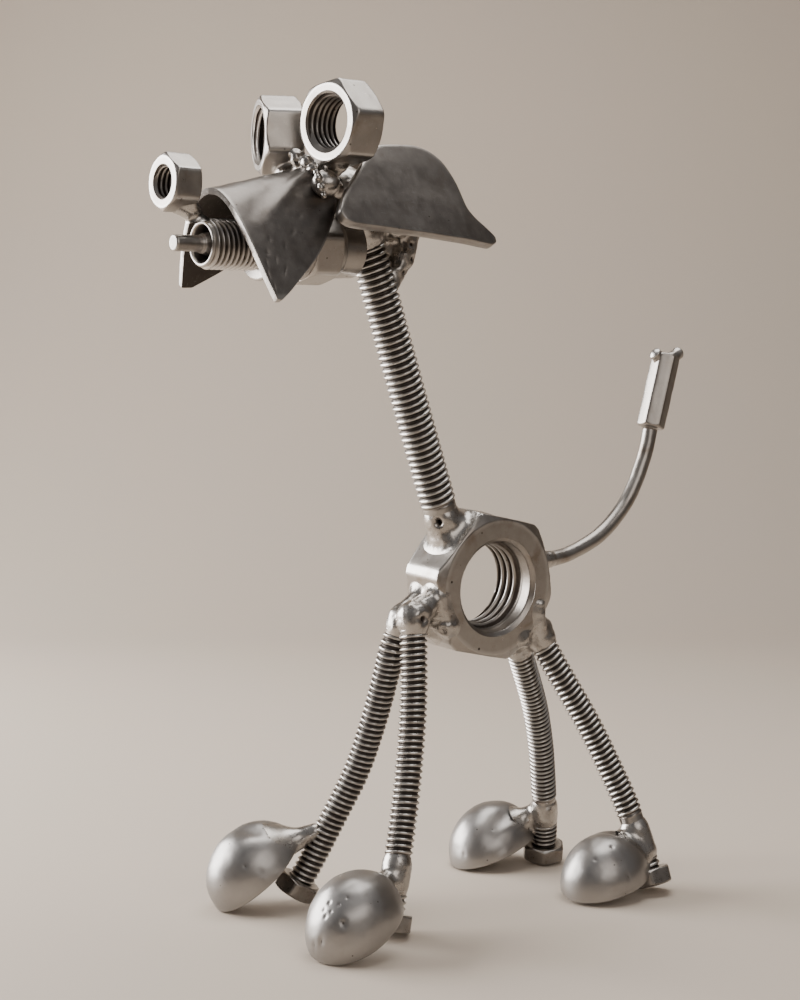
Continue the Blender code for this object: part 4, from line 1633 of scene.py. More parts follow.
def make_feet() -> dict[str, Foot]:
    """The four feet by name.

    Returns:
        Each foot's place, turns, valley and pits.
    """
    return {
        "front_left": Foot("front_left", (21.4, -65.5), 15, 29, -5, seed=1.3, valley=0.05,
                           valley_size=(0.26, 0.60),
                           pits=((-0.38, 0.06, 0.6), (-0.51, 0.12, 0.55), (-0.60, 0.02, 0.6),
                                 (-0.51, -0.07, 0.4), (-0.36, -0.18, 0.5), (-0.19, -0.26, 0.4),
                                 (-0.57, -0.40, 0.9), (-0.92, 0.21, 0.6), (-0.89, 0.0, 0.7))),
        "front_right": Foot("front_right", (-35.9, -60.6), -7, 39, 2, seed=4.1, valley=0.09,
                            valley_size=(0.22, 0.5), valley_at=(0.45, -0.35),
                            pits=((-0.22, -0.76, 0.5), (0.53, -0.59, 0.7), (-0.08, -0.94, 0.4))),
        "rear_left": Foot("rear_left", (22.4, 33.4), 11, 14, -1, 0.7, seed=7.2, valley=0.12,
                          valley_at=(0.48, -0.2), pits=((-0.55, -0.28, 0.5), (-0.26, -0.90, 0.5),
                                                        (-0.14, -0.42, 0.6))),
        "rear_right": Foot("rear_right", (-29.6, 31.2), 5, 17, 7, seed=9.6, valley=0.15,
                           valley_at=(-0.02, -0.66), valley_size=(0.50, 0.20), valley_turn=6,
                           pits=((-0.92, -0.21, 0.4), (0.21, -0.72, 0.5), (-0.31, -0.64, 0.4))),
    }


# Head


@dataclass
class Snout:
    """The threaded snout: ring, pin, thread, seat, hexagon and rear barrel on one axis."""

    thread: float = 14.2
    thread_long: float = 18.5
    pitch: float = 1.65
    hex_af: float = 19.6
    hex_long: float = 9.5
    hex_from: float = 33.0
    pin: float = 4.6

    def frame(self) -> Matrix:
        """The axis frame, +Z forward, at the thread's front end."""
        return axes(LAYOUT.on_head(0, 0, 0), (0, -1, 0))

    def build(self) -> None:
        """Make the shell with its hexagon, and the pin in its socket."""
        frame = self.frame()
        crest = self.thread / 2
        back = -self.hex_from
        end = back - self.hex_long
        profile = [(0.02, -6.2), (4.2, -6.2), (4.6, -5.2), (5.2, -0.6), (5.45, -0.12), (5.8, 0.05),
                   (6.2, -0.1), (6.5, -0.6), (crest - 0.9, -1.4), (crest - 0.9, -self.thread_long + 0.4),
                   (crest - 0.7, -self.thread_long), (9.2, -self.thread_long - 0.05),
                   (9.75, -self.thread_long - 0.35), (9.9, -self.thread_long - 1.0),
                   (9.6, -self.thread_long - 1.8), (9.1, -self.thread_long - 2.6),
                   (9.3, -self.thread_long - 3.4), (9.5, -self.thread_long - 4.2), (9.5, end - 0.2),
                   (9.2, end - 1.2), (8.7, end - 1.8), (8.5, -51.2), (8.2, -51.5), (0.02, -51.5)]
        shell = turned_part("snout_shell", profile, frame, 80, self._wind, 0.19)
        at_hex = frame @ Matrix.Translation((0, 0, (back - self.hex_long / 2) * MM)) \
            @ Matrix.Rotation(math.radians(-15 + 90), 4, "Z")
        hexagon = HexBlank(self.hex_af, self.hex_long, face=0.975, angle=30, blunt=0.97,
                           round_edge=0.4).build("snout_hex", at_hex)
        dress(joined("snout_plug", [shell, hexagon]), Slot.BARE, ["spark_plug_shell"], 50)
        half = self.pin / 2
        pin = [(0.02, 9.0), (half - 0.5, 9.0), (half - 0.12, 8.85), (half, 8.4), (half - 0.05, 4.0),
               (half, 1.4), (half + 0.15, 0.4), (2.8, -0.2), (3.1, -1.6), (3.3, -3.4), (3.6, -5.9),
               (0.02, -5.9)]
        core = turned_part("snout_pin", pin, frame, 48, None, 0.3)
        dress(core, Slot.CORE, ["spark_plug_core"], 60)

    def _wind(self, radii: np.ndarray, ups: np.ndarray, angles: np.ndarray) -> tuple[np.ndarray, Any]:
        """Raise the helical thread on its stretch.

        Args:
            radii: Radii before the thread.
            ups: Heights.
            angles: One for each sector.

        Returns:
            New radii, and wear to add.
        """
        phase = ups / self.pitch - angles[None, :] / (2 * math.pi)
        outside = (radii > 5.9) & (radii < self.thread / 2)
        on = ease(ups, -self.thread_long + 0.2, -self.thread_long + 1.8) * (1 - ease(ups, -1.6, -0.5))
        rise = on * thread_rise(phase, 0.10, 0.10)
        wound = np.where(outside, radii - 0.15 * on + 1.05 * rise, radii)
        # the thread roots drop to low values and the darkest colour: dirt, and painted shade in the grooves
        return wound, np.where(outside, on * (0.75 * rise - 0.50), 0.0)


def outward_of(grid: np.ndarray) -> np.ndarray:
    """Unit normals of a grid of points, turned away from the snout's axis.

    Args:
        grid: Rows by columns by three numbers, in metres.

    Returns:
        The normals.
    """
    normal = np.cross(np.gradient(grid, axis=0), np.gradient(grid, axis=1))
    normal /= np.linalg.norm(normal, axis=-1)[..., None] + 1e-12
    away = grid - np.array(LAYOUT.on_head(0, 20, 0))
    facing = np.sign((normal * away)[..., [0, 2]].sum(-1))
    return normal * facing[..., None]


@dataclass
class MuzzlePlate:
    """A bent plate draped over the snout: a ridge on top and a pointed flap on each side."""

    thick: float = 1.8
    half: float = 23.0
    front: float = 2.4
    rear: float = 44.7
    ridge: float = 14.3
    rise: float = 8.5
    tip_left: float = -16.9
    tip_right: float = -11.5
    pits: tuple[Triple, ...] = (
        (0.18, 0.74, 0.5), (0.12, 0.80, 0.45), (0.30, 0.78, 0.4), (0.08, 0.86, 0.5), (0.45, 0.70, 0.4),
        (0.55, 0.62, 0.45), (0.25, 0.66, 0.35), (0.62, 0.52, 0.4), (0.15, 0.93, 0.5), (0.5, 0.84, 0.4))

    def point(self, s: float, across: float) -> Vector:
        """A point of the middle surface.

        Args:
            s: 0 at the front edge, 1 at the rear.
            across: -1 at the right tip, 0 on the ridge, 1 at the left tip.

        Returns:
            The point in metres.
        """
        side = 1.0 if across > 0 else -1.0
        t = abs(across)
        tip = self.tip_left if side > 0 else self.tip_right
        sweep = 3.0 if side > 0 else 1.0
        front = self.front + sweep * t + 4.2 * t ** 3
        rear = self.rear - 9.0 * t - 26.0 * t ** 3
        back = front + (rear - front) * s
        top = self.ridge + self.rise * min(1.0, (back - self.front) / 36.0)
        u = 1 - t
        x = 3 * u * u * t * 10.0 + 3 * u * t * t * 14.5 + t ** 3 * self.half
        z = u ** 3 * top + 3 * u * u * t * (top - 0.4) + 3 * u * t * t * 2.5 + t ** 3 * tip
        return LAYOUT.on_head(side * x, back, z)

    def build(self) -> None:
        """Make the plate."""
        rows, cols = 71, 150
        s = np.linspace(0, 1, rows)
        across = np.linspace(-1, 1, cols)
        across = across * (1 - 0.12 * (1 - across ** 2))
        across = across * 0.985 / np.abs(across).max()
        grid = np.array([[self.point(a, b) for b in across] for a in s])
        grid[..., 2] += jitter(grid, 8.0, 0.35, 2.2) + jitter(grid, 2.5, 0.06, 8.0)
        grid += outward_of(grid) * ((self._fold(s, across) - self._pits(s, across)) * MM)[..., None]
        index = np.arange(rows * cols).reshape(rows, cols)
        corners = (index[:-1, :-1], index[:-1, 1:], index[1:, 1:], index[1:, :-1])
        faces = np.stack(corners, -1).reshape(-1, 4)
        mesh = bpy.data.meshes.new("muzzle_sheet")
        mesh.from_pydata(grid.reshape(-1, 3).tolist(), [], faces.tolist())
        plate = bpy.data.objects.new("muzzle_sheet", mesh)
        bpy.context.scene.collection.objects.link(plate)
        edge = np.minimum(np.minimum(s, 1 - s)[:, None] * 30.0, (0.985 - np.abs(across))[None, :] * 30.0)
        set_wear_and_shade(mesh, (0.45 + 0.55 * (1 - ease(edge, 0.1, 1.0))).reshape(-1))
        wall = plate.modifiers.new("wall", "SOLIDIFY")
        wall.thickness = self.thick * MM
        wall.offset = 0.0
        bevel = plate.modifiers.new("edge", "BEVEL")
        bevel.width = 0.42 * MM
        bevel.segments = 3
        bevel.limit_method = "ANGLE"
        bevel.angle_limit = math.radians(50)
        applied(plate)
        self._shade_inside(plate.data)
        dress(plate, Slot.SHEET, ["muzzle_plate"], 60)

    @staticmethod
    def _shade_inside(mesh: bpy.types.Mesh) -> None:
        """Paint shade on the side that faces the snout by giving it a low value, so that it takes the
        darkest colour.

        Args:
            mesh: The plate's mesh.
        """
        points = mesh_points(mesh)
        flat = np.zeros(len(points) * 3, np.float32)
        mesh.vertex_normals.foreach_get("vector", flat)
        axis = np.array(LAYOUT.on_head(0, 20, 0))
        outward = ((points - axis) * flat.reshape(-1, 3))[:, [0, 2]].sum(1)
        worn = np.zeros(len(points), np.float32)
        mesh.attributes["wear_and_shade"].data.foreach_get("value", worn)
        # painted shade: the inner face drops to 0.10
        set_wear_and_shade(mesh, np.where(outward < 0, 0.10, worn))

    def _fold(self, s: np.ndarray, across: np.ndarray) -> np.ndarray:
        """A raised fold from the ridge's rear end forward and down the left flap, in millimetres.

        Args:
            s: Places from the front edge to the rear.
            across: Places from tip to tip.

        Returns:
            Heights, rows by columns.
        """
        run = s[:, None] - 0.86 + 1.25 * (across[None, :] - 0.06)
        crease = np.exp(-(run / 0.09) ** 2 - ((across[None, :] - 0.24) / 0.20) ** 2)
        hollow = np.exp(-((run + 0.22) / 0.14) ** 2 - ((across[None, :] - 0.30) / 0.22) ** 2)
        return 0.75 * crease - 0.35 * hollow

    def _pits(self, s: np.ndarray, across: np.ndarray) -> np.ndarray:
        """Pits and dents towards the left tip, in millimetres deep.

        Args:
            s: Places from the front edge to the rear.
            across: Places from tip to tip.

        Returns:
            Depths, rows by columns.
        """
        depth = np.zeros((len(s), len(across)))
        for place, aside, wide in self.pits:
            away = ((s[:, None] - place) * 14) ** 2 + ((across[None, :] - aside) * 34) ** 2
            depth += 0.45 * wide * np.exp(-away / wide ** 2)
        return depth


@dataclass
class Ear:
    """A flat plate with a rounded front corner and a swept tip, hung like a roof slope."""

    side: int
    thick: float = 3.0
    bulge: float = 0.7
    outline: tuple[tuple[float, float], ...] = (
        (-0.9, 4.1), (0.2, 1.6), (2.6, 0.6), (26.0, 0.4), (45.0, 0.3), (53.6, 0.1), (56.0, 1.3),
        (56.2, 2.9), (53.2, 5.8), (50.2, 8.4), (48.0, 11.7), (46.4, 20.2), (43.4, 27.0), (39.6, 30.0),
        (34.6, 31.1), (26.7, 30.3), (20.4, 29.1), (16.8, 26.7), (12.0, 21.7), (6.6, 15.2), (1.7, 9.1))
    middle: tuple[float, float] = (27.0, 13.0)

    def rim(self, sectors: int = 220) -> np.ndarray:
        """The outline as a smooth closed line, in millimetres.

        Args:
            sectors: Points on it.

        Returns:
            Points, one row each.
        """
        points = np.array(self.outline, float)
        count = len(points)
        dense = []
        for i in range(count):
            a, b, c, d = (points[(i + k) % count] for k in (-1, 0, 1, 2))
            pull = 0.5 * min(1.0, np.linalg.norm(c - b) / 6.0 + 0.35)
            span = np.linalg.norm(c - b)
            lead = min(1.0, span / np.linalg.norm(b - a + 1e-9))
            trail = min(1.0, span / np.linalg.norm(d - c + 1e-9))
            first = b + (c - a) * pull * 0.33 * lead
            second = c - (d - b) * pull * 0.33 * trail
            for t in np.linspace(0, 1, 12, endpoint=False):
                u = 1 - t
                dense.append(u ** 3 * b + 3 * u * u * t * first + 3 * u * t * t * second + t ** 3 * c)
        line = np.array(dense + [dense[0]])
        steps = np.concatenate([[0], np.cumsum(np.linalg.norm(np.diff(line, axis=0), axis=1))])
        places = np.linspace(0, steps[-1], sectors, endpoint=False)
        return np.stack([np.interp(places, steps, line[:, k]) for k in range(2)], -1)

    def frame(self) -> tuple[np.ndarray, ...]:
        """Directions along the head, up the slope and out of the left ear, and its corner.

        Returns:
            Three unit vectors and a place in metres.
        """
        along = Vector((0, 1, -0.075)).normalized()
        slope = Vector((-0.48, 0, 0.876)).normalized()
        out = along.cross(slope).normalized()
        slope = out.cross(along)
        corner = LAYOUT.on_head(24.0, 32.2, 5.5) - LAYOUT.shift - out * self.thick / 2 * MM
        return np.array(along), np.array(slope), np.array(out), np.array(corner)

    def build(self) -> None:
        """Make the plate."""
        rim = self.rim()
        hub = np.array(self.middle)
        half = self.thick / 2
        round_off = 0.55
        rows: list[tuple[float, float, float, float]] = []
        for share in (0.02, 0.2, 0.4, 0.6, 0.75, 0.87, 0.94):
            rows.append((share, 0.0, half, 0.42))
        rows += [(1.0, -1.6, half, 0.45), (1.0, -round_off, half, 0.65)]
        for k in range(1, 5):
            turn = k / 5 * math.pi / 2
            off = -round_off + round_off * math.sin(turn)
            rows.append((1.0, off, half - round_off * (1 - math.cos(turn)), 0.95))
        top = list(rows)
        rows += [(1.0, 0.0, 0.0, 0.75)]
        rows += [(share, off, -up, worn * 0.85) for share, off, up, worn in reversed(top)]
        along, slope, out, corner = self.frame()
        inward = hub - rim
        inward /= np.linalg.norm(inward, axis=1)[:, None]
        points, wear_and_shade = [], []
        for share, off, up, worn in rows:
            flat = hub + (rim - hub) * share - inward * off
            crown = self.bulge * (1 - ((flat[:, 0] - 24) / 32) ** 2 - ((flat[:, 1] - 12) / 26) ** 2)
            lift = up + crown
            places = corner + (flat[:, :1] * along + flat[:, 1:] * slope + lift[:, None] * out) * MM
            points.append(places)
            wear_and_shade.append(np.full(len(rim), worn))
        grid = np.array(points)
        grid += out * jitter(grid, 11.0, 0.30, 6.0 + self.side)[..., None]
        if self.side < 0:
            grid[..., 0] *= -1
        grid += np.array(LAYOUT.shift)
        name = "left" if self.side > 0 else "right"
        ear = grid_object(f"ear_{name}_sheet", grid, np.array(wear_and_shade))
        dress(ear, Slot.SHEET, [f"ear_{name}"], 60)


class HeadNuts:
    """The nose nut and the two eye nuts."""

    def __init__(self) -> None:
        """Set the places and sizes."""
        self.eyes = (
            ("left", LAYOUT.on_head(12.6, 39.1, 34.4), 6.7, -20.0, 22.2),
            ("right", LAYOUT.on_head(-13.4, 35.4, 32.7), -22.0, 3.0, 20.8))
        self.eye_thick = 11.8

    def nose_frame(self) -> Matrix:
        """The nose nut's frame, +Z forward."""
        return axes(LAYOUT.on_head(0, -8.0, 16.3), (0, -1, 0.02), -5.0 + 90)

    def eye_frame(self, index: int) -> Matrix:
        """An eye nut's frame, +Z out of its front face.

        Args:
            index: 0 for the left eye, 1 for the right.

        Returns:
            The frame in metres.
        """
        _, place, azimuth, spin, _ = self.eyes[index]
        turn = math.radians(azimuth)
        return axes(place, (math.sin(turn), -math.cos(turn), 0), spin + 90)

    def cores(self) -> tuple[HexCore, HexCore, HexCore]:
        """The nose nut and the two eye nuts as weld metal meets them.

        Returns:
            The three nuts.
        """
        return (HexCore(self.nose_frame(), 14.5, 8.4), HexCore(self.eye_frame(0), 22.2, self.eye_thick),
                HexCore(self.eye_frame(1), 20.8, self.eye_thick))

    def build(self) -> None:
        """Make the three nuts."""
        nose = HexBlank(14.5, 8.4, Bore(8.0, 9.8, 1.5, depth=0.5), face=0.97, angle=30, round_edge=0.4,
                        dents=0.10)
        dress(nose.build("nose_nut_steel", self.nose_frame()), Slot.BARE, ["nose_nut"], 50)
        for index, (side, _, _, _, af) in enumerate(self.eyes):
            frame = self.eye_frame(index)
            blank = HexBlank(af, self.eye_thick, Bore(14.4, 17.4, 1.9, depth=0.5), face=0.97, angle=30,
                             round_edge=0.4, dents=0.12)
            dress(blank.build(f"eye_nut_{side}_steel", frame), Slot.BARE, [f"eye_nut_{side}"], 50)


# Welds


class Welds:
    """All weld metal, placed from the pieces that it joins."""

    def __init__(self, body: BodyNut, legs: dict[str, Leg], neck: Neck, tail: Tail, feet: dict[str, Foot],
                 nuts: HeadNuts) -> None:
        """Keep the pieces that the welds hold.

        Args:
            body: The body nut.
            legs: The legs by name.
            neck: The neck.
            tail: The tail.
            feet: The feet by name.
            nuts: The nuts of the head.
        """
        self.legs = legs
        self.neck = neck
        self.tail = tail
        self.feet = feet
        self.nuts = nuts
        self.nut = HexCore(body.frame(), LAYOUT.nut_af, LAYOUT.nut_thick, hole=body.sink / 2 + 0.3)

    def build(self) -> None:
        """Make every weld."""
        for bead in (*self.body_beads(), *self.foot_beads(), *self.head_beads()):
            dress(bead.build(), Slot.WELD, bead.replaces)

    def shank(self, key: str, low: float, high: float) -> RodCore:
        """A stretch of a leg's shank, in millimetres from its hip.

        Args:
            key: The leg's name.
            low: Where the stretch starts.
            high: Where it ends.

        Returns:
            The bare rod below the thread.
        """
        leg = self.legs[key]
        return RodCore(leg.line(), leg.diameter / 2 - 0.85, low, high)

    def body_beads(self) -> list[Bead]:
        """Welds on the body nut.

        Returns:
            The welds.
        """
        on = LAYOUT.on_body
        low, high = self.neck.ends()
        up = (high - low).normalized() * MM
        neck = Bead("neck_weld", [
            Run(low - up * 7.0, low - up * 4.0, 5.8, 5.5),
            Run(on(2.6, 60.0, 0.6), on(4.4, 80.0, -1.4), 3.2, 1.6),
            Run(on(-3.0, 60.0, 0.6), on(-5.0, 78.0, -1.2), 3.2, 1.8),
            Run(on(0.6, 43.0, -0.5), on(4.0, 42.0, -0.5), 1.9, 1.5),
            Lump(on(-1.2, 45.0, 1.2), (2.0, 1.6, 2.2)), Lump(on(3.6, 44.6, 1.0), (1.8, 1.5, 2.0))],
            ("weld_neck_body",), [self.nut, RodCore(self.neck.line(), 4.75, 0.0, 4.0)], flow=4.2,
            rough=0.20,
            pits=((LAYOUT.at(3.6, -20.4, 119.6), 1.2, 2.4), (LAYOUT.at(4.8, -19.6, 116.8), 0.9, 1.2)))
        lobes = []
        for key, side in (("front_left", 1), ("front_right", -1)):
            points = self.legs[key].points()
            lobes += [Run(on(side * 3.7 - 0.2, -3.0, -2.4), points[0], 3.0, 4.7),
                      Run(points[0], points[0].lerp(points[1], 0.16), 4.7, 4.5)]
        front = Bead("front_legs_weld", lobes + [
            Run(on(0, -20.0, 2.4), on(-1.0, -32.0, 1.2), 4.4, 3.8),
            Lump(on(5.2, -22.0, -0.2), (1.9, 2.4, 2.2)), Lump(on(5.8, -15.0, 0.0), (1.5, 1.8, 1.6)),
            Lump(on(5.2, -31.0, 0.6), (2.9, 3.4, 2.6))],
            ("weld_front_legs",),
            [self.nut, self.shank("front_left", 0, 5), self.shank("front_right", 0, 6)],
            flow=3.0, blend=1.5, rough=0.24, voxel=0.4,
            # the deep pit at (8.0, -22.4, 86.2) is painted shade for the shaded hole under the nut
            pits=((LAYOUT.at(9.6, -30.4, 92.0), 1.6, 1.3), (LAYOUT.at(8.0, -22.4, 86.2), 1.7, 3.2),
                  (LAYOUT.at(1.6, -29.0, 95.5), 1.3, 0.7)))
        rear_lobes = []
        for key in ("rear_left", "rear_right"):
            points = self.legs[key].points()
            rear_lobes.append(Run(points[0], points[0].lerp(points[1], 0.3), 4.9, 4.5))
        rear = Bead("rear_legs_weld", rear_lobes + [
            Run(on(1.0, -128.0, 1.5), on(0.6, -140.0, 2.0), 4.4, 4.4),
            Run(on(3.6, -145.0, 1.2), on(5.6, -151.0, -1.0), 3.2, 2.2),
            Run(LAYOUT.at(7.9, 18.0, 92.2), LAYOUT.at(7.9, 18.6, 85.6), 0.75, 1.2),
            Lump(on(4.6, -124.0, 0.4), (2.6, 2.8, 2.6))], ("weld_rear_legs",),
            [self.nut, self.shank("rear_left", 0, 5), self.shank("rear_right", 0, 6)], flow=3.0, rough=0.22,
            voxel=0.4)
        tail_line = self.tail.line()
        run_out = Vector(tail_line.frames(np.array([4.5 * MM]))[0][0])
        tail = Bead("tail_weld", [Run(self.tail.root(), run_out, 3.1, 2.3)], ("weld_tail",),
                    [self.nut, RodCore(tail_line, 2.45, 0, 8)], flow=2.6, rough=0.12)
        return [neck, front, rear, tail]

    def foot_beads(self) -> list[Bead]:
        """The bead from each shank to the heel of its half egg.

        Returns:
            The welds.
        """
        at = LAYOUT.at
        plans: dict[str, tuple[Triple, list[Any], float]] = {
            "front_left": ((14.5, 19.0, 4.0), [Lump(at(15.4, -50.4, 16.4), (3.2, 3.2, 3.2))], 3.4),
            "front_right": ((0.0, 0.0, 0.0),
                            [Run(at(-25.5, -46.0, 23.0), at(-31.6, -53.4, 18.6), 2.6, 3.8)], 4.4),
            "rear_left": ((11.5, 18.0, 4.2), [Lump(at(25.2, 42.6, 15.0), (3.0, 3.2, 3.0))], 3.2),
            "rear_right": ((15.5, 18.5, 4.1),
                           [Run(at(-19.6, 41.6, 17.6), at(-22.6, 37.6, 15.2), 3.0, 3.2)], 3.0),
        }
        made = []
        for key, ((low, high, radius), extra, flow) in plans.items():
            leg, foot = self.legs[key], self.feet[key]
            path = leg.line()
            total = path.length / MM
            ends = path.frames(np.array([path.length - high * MM, path.length - low * MM]))[0]
            collar = [Run(Vector(ends[0]), Vector(ends[1]), radius, radius)] if radius else []
            dome = DomeCore(foot.frame(), (foot.long / 2, foot.wide / 2, foot.high))
            made.append(Bead(f"foot_weld_{key}", collar + extra, (f"weld_foot_{key}",),
                             [RodCore(path, leg.diameter / 2 - 0.85, total - high - 2, total - 10), dome],
                             flow=flow, rough=0.12, voxel=0.4))
        return made

    def head_beads(self) -> list[Bead]:
        """Welds of the head.

        Returns:
            The welds.
        """
        on = LAYOUT.on_head
        nose_nut, eye_left, eye_right = self.nuts.cores()
        barrel = Path([on(0, 0, 0), on(0, 52, 0)])
        nose = Bead("nose_weld", [
            Run(on(0, -5.0, 10.4), on(0, -0.6, 6.2), 2.7, 2.2), Lump(on(1.8, -4.0, 9.6), (1.8, 2.2, 1.7))],
            ("weld_nose",), [nose_nut, RodCore(barrel, 6.9, 0, 5)], flow=2.2, voxel=0.25, rough=0.16)
        left = Bead("temple_weld_left", [
            Lump(on(12.0, 34.0, 17.4), (4.0, 4.0, 3.9)), Lump(on(10.2, 38.0, 16.0), (3.0, 3.0, 3.0)),
            Lump(on(13.8, 30.0, 18.6), (1.1, 1.0, 1.1)), Lump(on(14.4, 30.4, 15.8), (1.0, 0.9, 1.0)),
            Lump(on(13.0, 30.0, 20.2), (0.9, 0.9, 0.9)), Lump(on(14.4, 31.6, 13.8), (0.9, 0.8, 0.9))],
            ("weld_temple_left",), blend=0.75, voxel=0.2, rough=0.10)
        right = Bead("temple_weld_right", [Lump(on(-9.8, 35.6, 17.4), (4.0, 3.8, 3.8))],
                     ("weld_temple_right",), voxel=0.28)
        eyes = Bead("eyes_weld", [
            Run(on(-3.4, 38.0, 22.8), on(4.6, 39.0, 22.8), 3.6, 3.6),
            Lump(on(8.4, 39.0, 22.4), (4.6, 3.8, 2.6)),
            Lump(on(-8.6, 36.8, 21.6), (5.0, 4.0, 2.6)), Lump(on(1.8, 34.8, 24.2), (2.3, 1.8, 1.9)),
            Lump(on(-2.2, 33.8, 25.4), (1.8, 1.7, 2.2)), Lump(on(5.4, 34.2, 21.8), (2.0, 1.6, 1.4))],
            ("weld_eyes",), [eye_left, eye_right], blend=1.1, flow=2.4, voxel=0.3, rough=0.24)
        crown = Bead("crown_weld", [
            Run(on(0, 50.0, 16.0), on(0, 56.0, 5.0), 7.6, 6.6), Lump(on(7.8, 54.2, 19.0), (5.0, 6.0, 5.0)),
            Lump(on(-7.8, 54.2, 19.0), (5.0, 6.0, 5.0)), Run(on(0, 72.6, 4.4), on(0, 70.8, -2.0), 3.7, 3.7),
            Run(on(0, 70.8, -2.0), on(0.4, 66.2, -10.4), 3.6, 2.3),
            Lump(on(0.4, 66.4, 6.0), (6.0, 5.6, 3.0)),
            Lump(on(-3.4, 67.0, 1.0), (3.4, 5.6, 5.6))],
            ("weld_crown",), [RodCore(self.neck.line(), 4.75, 68, 92)], blend=1.2, flow=1.6, voxel=0.5,
            rough=0.45, pits=((on(3.4, 72.4, -2.6), 1.1, 1.1), (on(3.0, 69.2, -6.4), 0.9, 0.8),
                              (on(3.6, 71.6, 1.8), 0.9, 0.7)))
        return [nose, left, right, eyes, crown]


# Studio


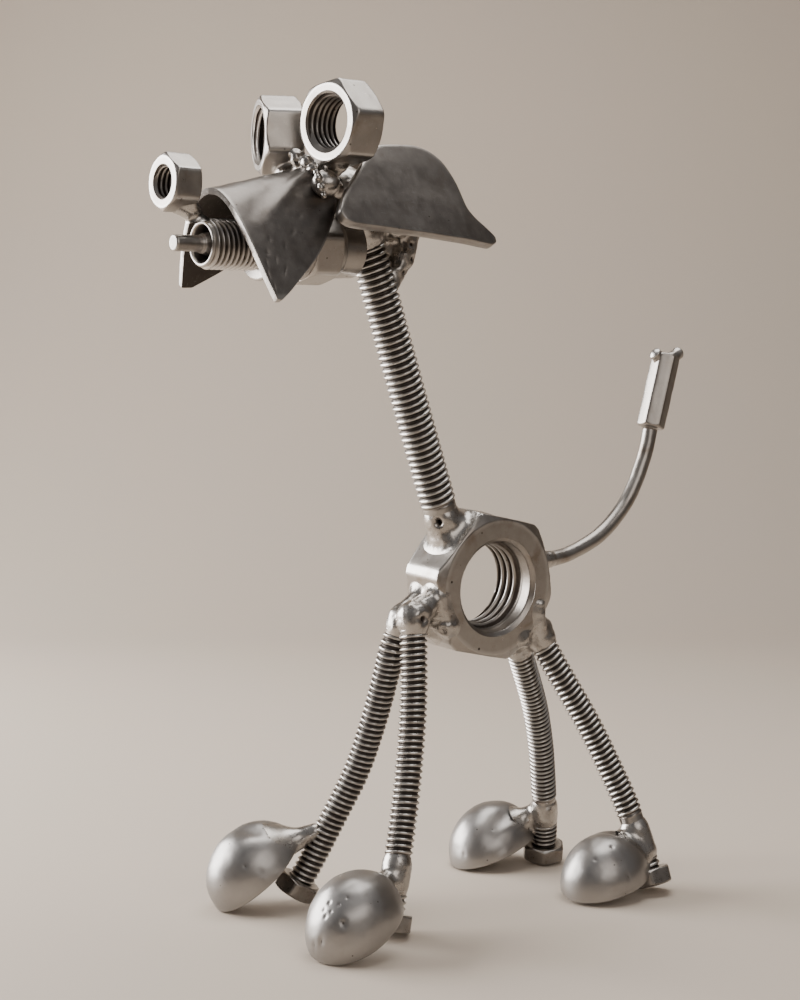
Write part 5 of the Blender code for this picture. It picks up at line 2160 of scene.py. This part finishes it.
@dataclass
class Studio:
    """Pale floor, soft lights and the camera at the photograph's angle."""

    azimuth: float = 51.7
    elevation: float = 4.5
    distance: float = 0.56
    target: Triple = (32.152, -57.545, 130.345)
    focal_px: float = 2000.0
    floor_colour: Triple = (0.56, 0.48, 0.40)
    wall_colour: Triple = (0.52, 0.47, 0.42)

    def build(self) -> None:
        """Set up the floor, lights, world and camera."""
        self._floor()
        self._world()
        self._camera()
        self._light("window_key", (-590, -440, 300), 0.70, 0.55, 17.0, (1.0, 0.985, 0.97), (0, -20, 120))
        self._light("side_fill", (640, -120, 460), 0.5, 0.4, 1.2, (1.0, 0.93, 0.86), (0, -20, 100))
        self._light("top_soft", (-60, 120, 700), 0.5, 0.5, 3.5, (1.0, 0.98, 0.95), (0, 0, 80))

    def _floor(self) -> None:
        """A pale floor that turns up into a backdrop well behind the dog."""
        bend = np.linspace(0.1, math.pi / 2, 14)
        depth = np.concatenate([np.linspace(-9.0, 0.55, 8), 0.55 + 0.35 * np.sin(bend)])
        height = np.concatenate([np.zeros(8), 0.35 * (1 - np.cos(bend))])
        depth = np.append(depth, depth[-1])
        height = np.append(height, 3.0)
        away = -math.radians(self.azimuth)
        back = np.array([math.sin(away), math.cos(away), 0])
        side = np.array([math.cos(away), -math.sin(away), 0])
        rows = []
        for d, h in zip(depth, height):
            rows.append([back * d + side * w + np.array([0, 0, h]) for w in (-9.0, 9.0)])
        grid = np.array(rows)
        index = np.arange(len(rows) * 2).reshape(-1, 2)
        faces = [[int(a[0]), int(a[1]), int(b[1]), int(b[0])] for a, b in zip(index, index[1:])]
        mesh = bpy.data.meshes.new("floor")
        mesh.from_pydata(grid.reshape(-1, 3).tolist(), [], faces)
        mesh.shade_smooth()
        floor = bpy.data.objects.new("studio_floor", mesh)
        bpy.context.scene.collection.objects.link(floor)
        s = Shader("studio_floor")
        cloud = s.noise(s.place(), 60.0, 2.0)
        colour = s.mix(cloud.step(0.3, 0.7) * 0.12, self.floor_colour, self.wall_colour)
        s.feed(Base_Color=colour, Roughness=0.7)
        mesh.materials.append(s.material)

    def _world(self) -> None:
        """Soft light from all round, darker low down."""
        world = bpy.data.worlds.new("studio_world")
        world.use_nodes = True
        tree = world.node_tree
        ground = tree.nodes["Background"]
        coordinate = tree.nodes.new("ShaderNodeTexCoord")
        split = tree.nodes.new("ShaderNodeSeparateXYZ")
        ramp = tree.nodes.new("ShaderNodeValToRGB")
        Shader.fill_ramp(ramp, ((0.0, (0.06, 0.045, 0.035)), (0.48, (0.10, 0.085, 0.075)),
                                (0.60, (0.17, 0.16, 0.155)), (1.0, (0.24, 0.24, 0.25))))
        half = tree.nodes.new("ShaderNodeMath")
        half.operation = "MULTIPLY_ADD"
        half.inputs[1].default_value = 0.5
        half.inputs[2].default_value = 0.5
        tree.links.new(coordinate.outputs["Generated"], split.inputs[0])
        tree.links.new(split.outputs["Z"], half.inputs[0])
        tree.links.new(half.outputs[0], ramp.inputs[0])
        tree.links.new(ramp.outputs[0], ground.inputs[0])
        ground.inputs[1].default_value = 1.0
        bpy.context.scene.world = world

    def _camera(self) -> None:
        """The camera of the photograph."""
        turn, tilt = math.radians(self.azimuth), math.radians(self.elevation)
        back = Vector((math.sin(turn) * math.cos(tilt), -math.cos(turn) * math.cos(tilt), math.sin(tilt)))
        target = LAYOUT.at(*self.target)
        data = bpy.data.cameras.new("photo_camera")
        data.sensor_fit = "VERTICAL"
        data.sensor_height = 36.0
        data.lens = 36.0 * self.focal_px / IMAGE_HIGH
        camera = bpy.data.objects.new("photo_camera", data)
        bpy.context.scene.collection.objects.link(camera)
        camera.location = target + back * self.distance
        camera.rotation_euler = back.to_track_quat("Z", "Y").to_euler()
        bpy.context.scene.camera = camera

    def _light(self, name: str, place: Triple, wide: float, high: float, power: float, colour: Triple,
               aim: Triple) -> None:
        """A soft rectangular light in the row frame, millimetres for places and metres for its size.

        Args:
            name: Its name.
            place: Where it stands.
            wide: Its width.
            high: Its height.
            power: Its power in watts.
            colour: Its colour.
            aim: The place that it faces.
        """
        data = bpy.data.lights.new(name, "AREA")
        data.shape = "RECTANGLE"
        data.size = wide
        data.size_y = high
        data.energy = power
        data.color = colour
        light = bpy.data.objects.new(name, data)
        bpy.context.scene.collection.objects.link(light)
        light.location = Vector(place) * MM
        towards = Vector(aim) * MM - light.location
        light.rotation_euler = towards.to_track_quat("-Z", "Y").to_euler()


def main() -> None:
    """Load the frame, build and dress every piece, and set the studio."""
    logging.basicConfig(level=logging.INFO, format="%(message)s")
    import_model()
    LAYOUT.read()
    marks = ((tuple(LAYOUT.at(8.4, -18.8, 102.1)), 0.5 * MM),
             (tuple(LAYOUT.at(7.1, -6.8, 80.4)), 0.55 * MM))
    for finish in (replace(BARE, spots=marks), THREAD, CAST, SHEET, WELD, CORE):
        MATERIALS[Slot(finish.name)] = finish.make()
    body, neck, tail, nuts = BodyNut(), Neck(), Tail(), HeadNuts()
    legs, feet = make_legs(), make_feet()
    for piece in (body, neck, tail, nuts, *legs.values(), *feet.values()):
        piece.build()
    Snout().build()
    MuzzlePlate().build()
    for side in (1, -1):
        Ear(side).build()
    Welds(body, legs, neck, tail, feet, nuts).build()
    Studio().build()


if __name__ == "__main__":
    main()
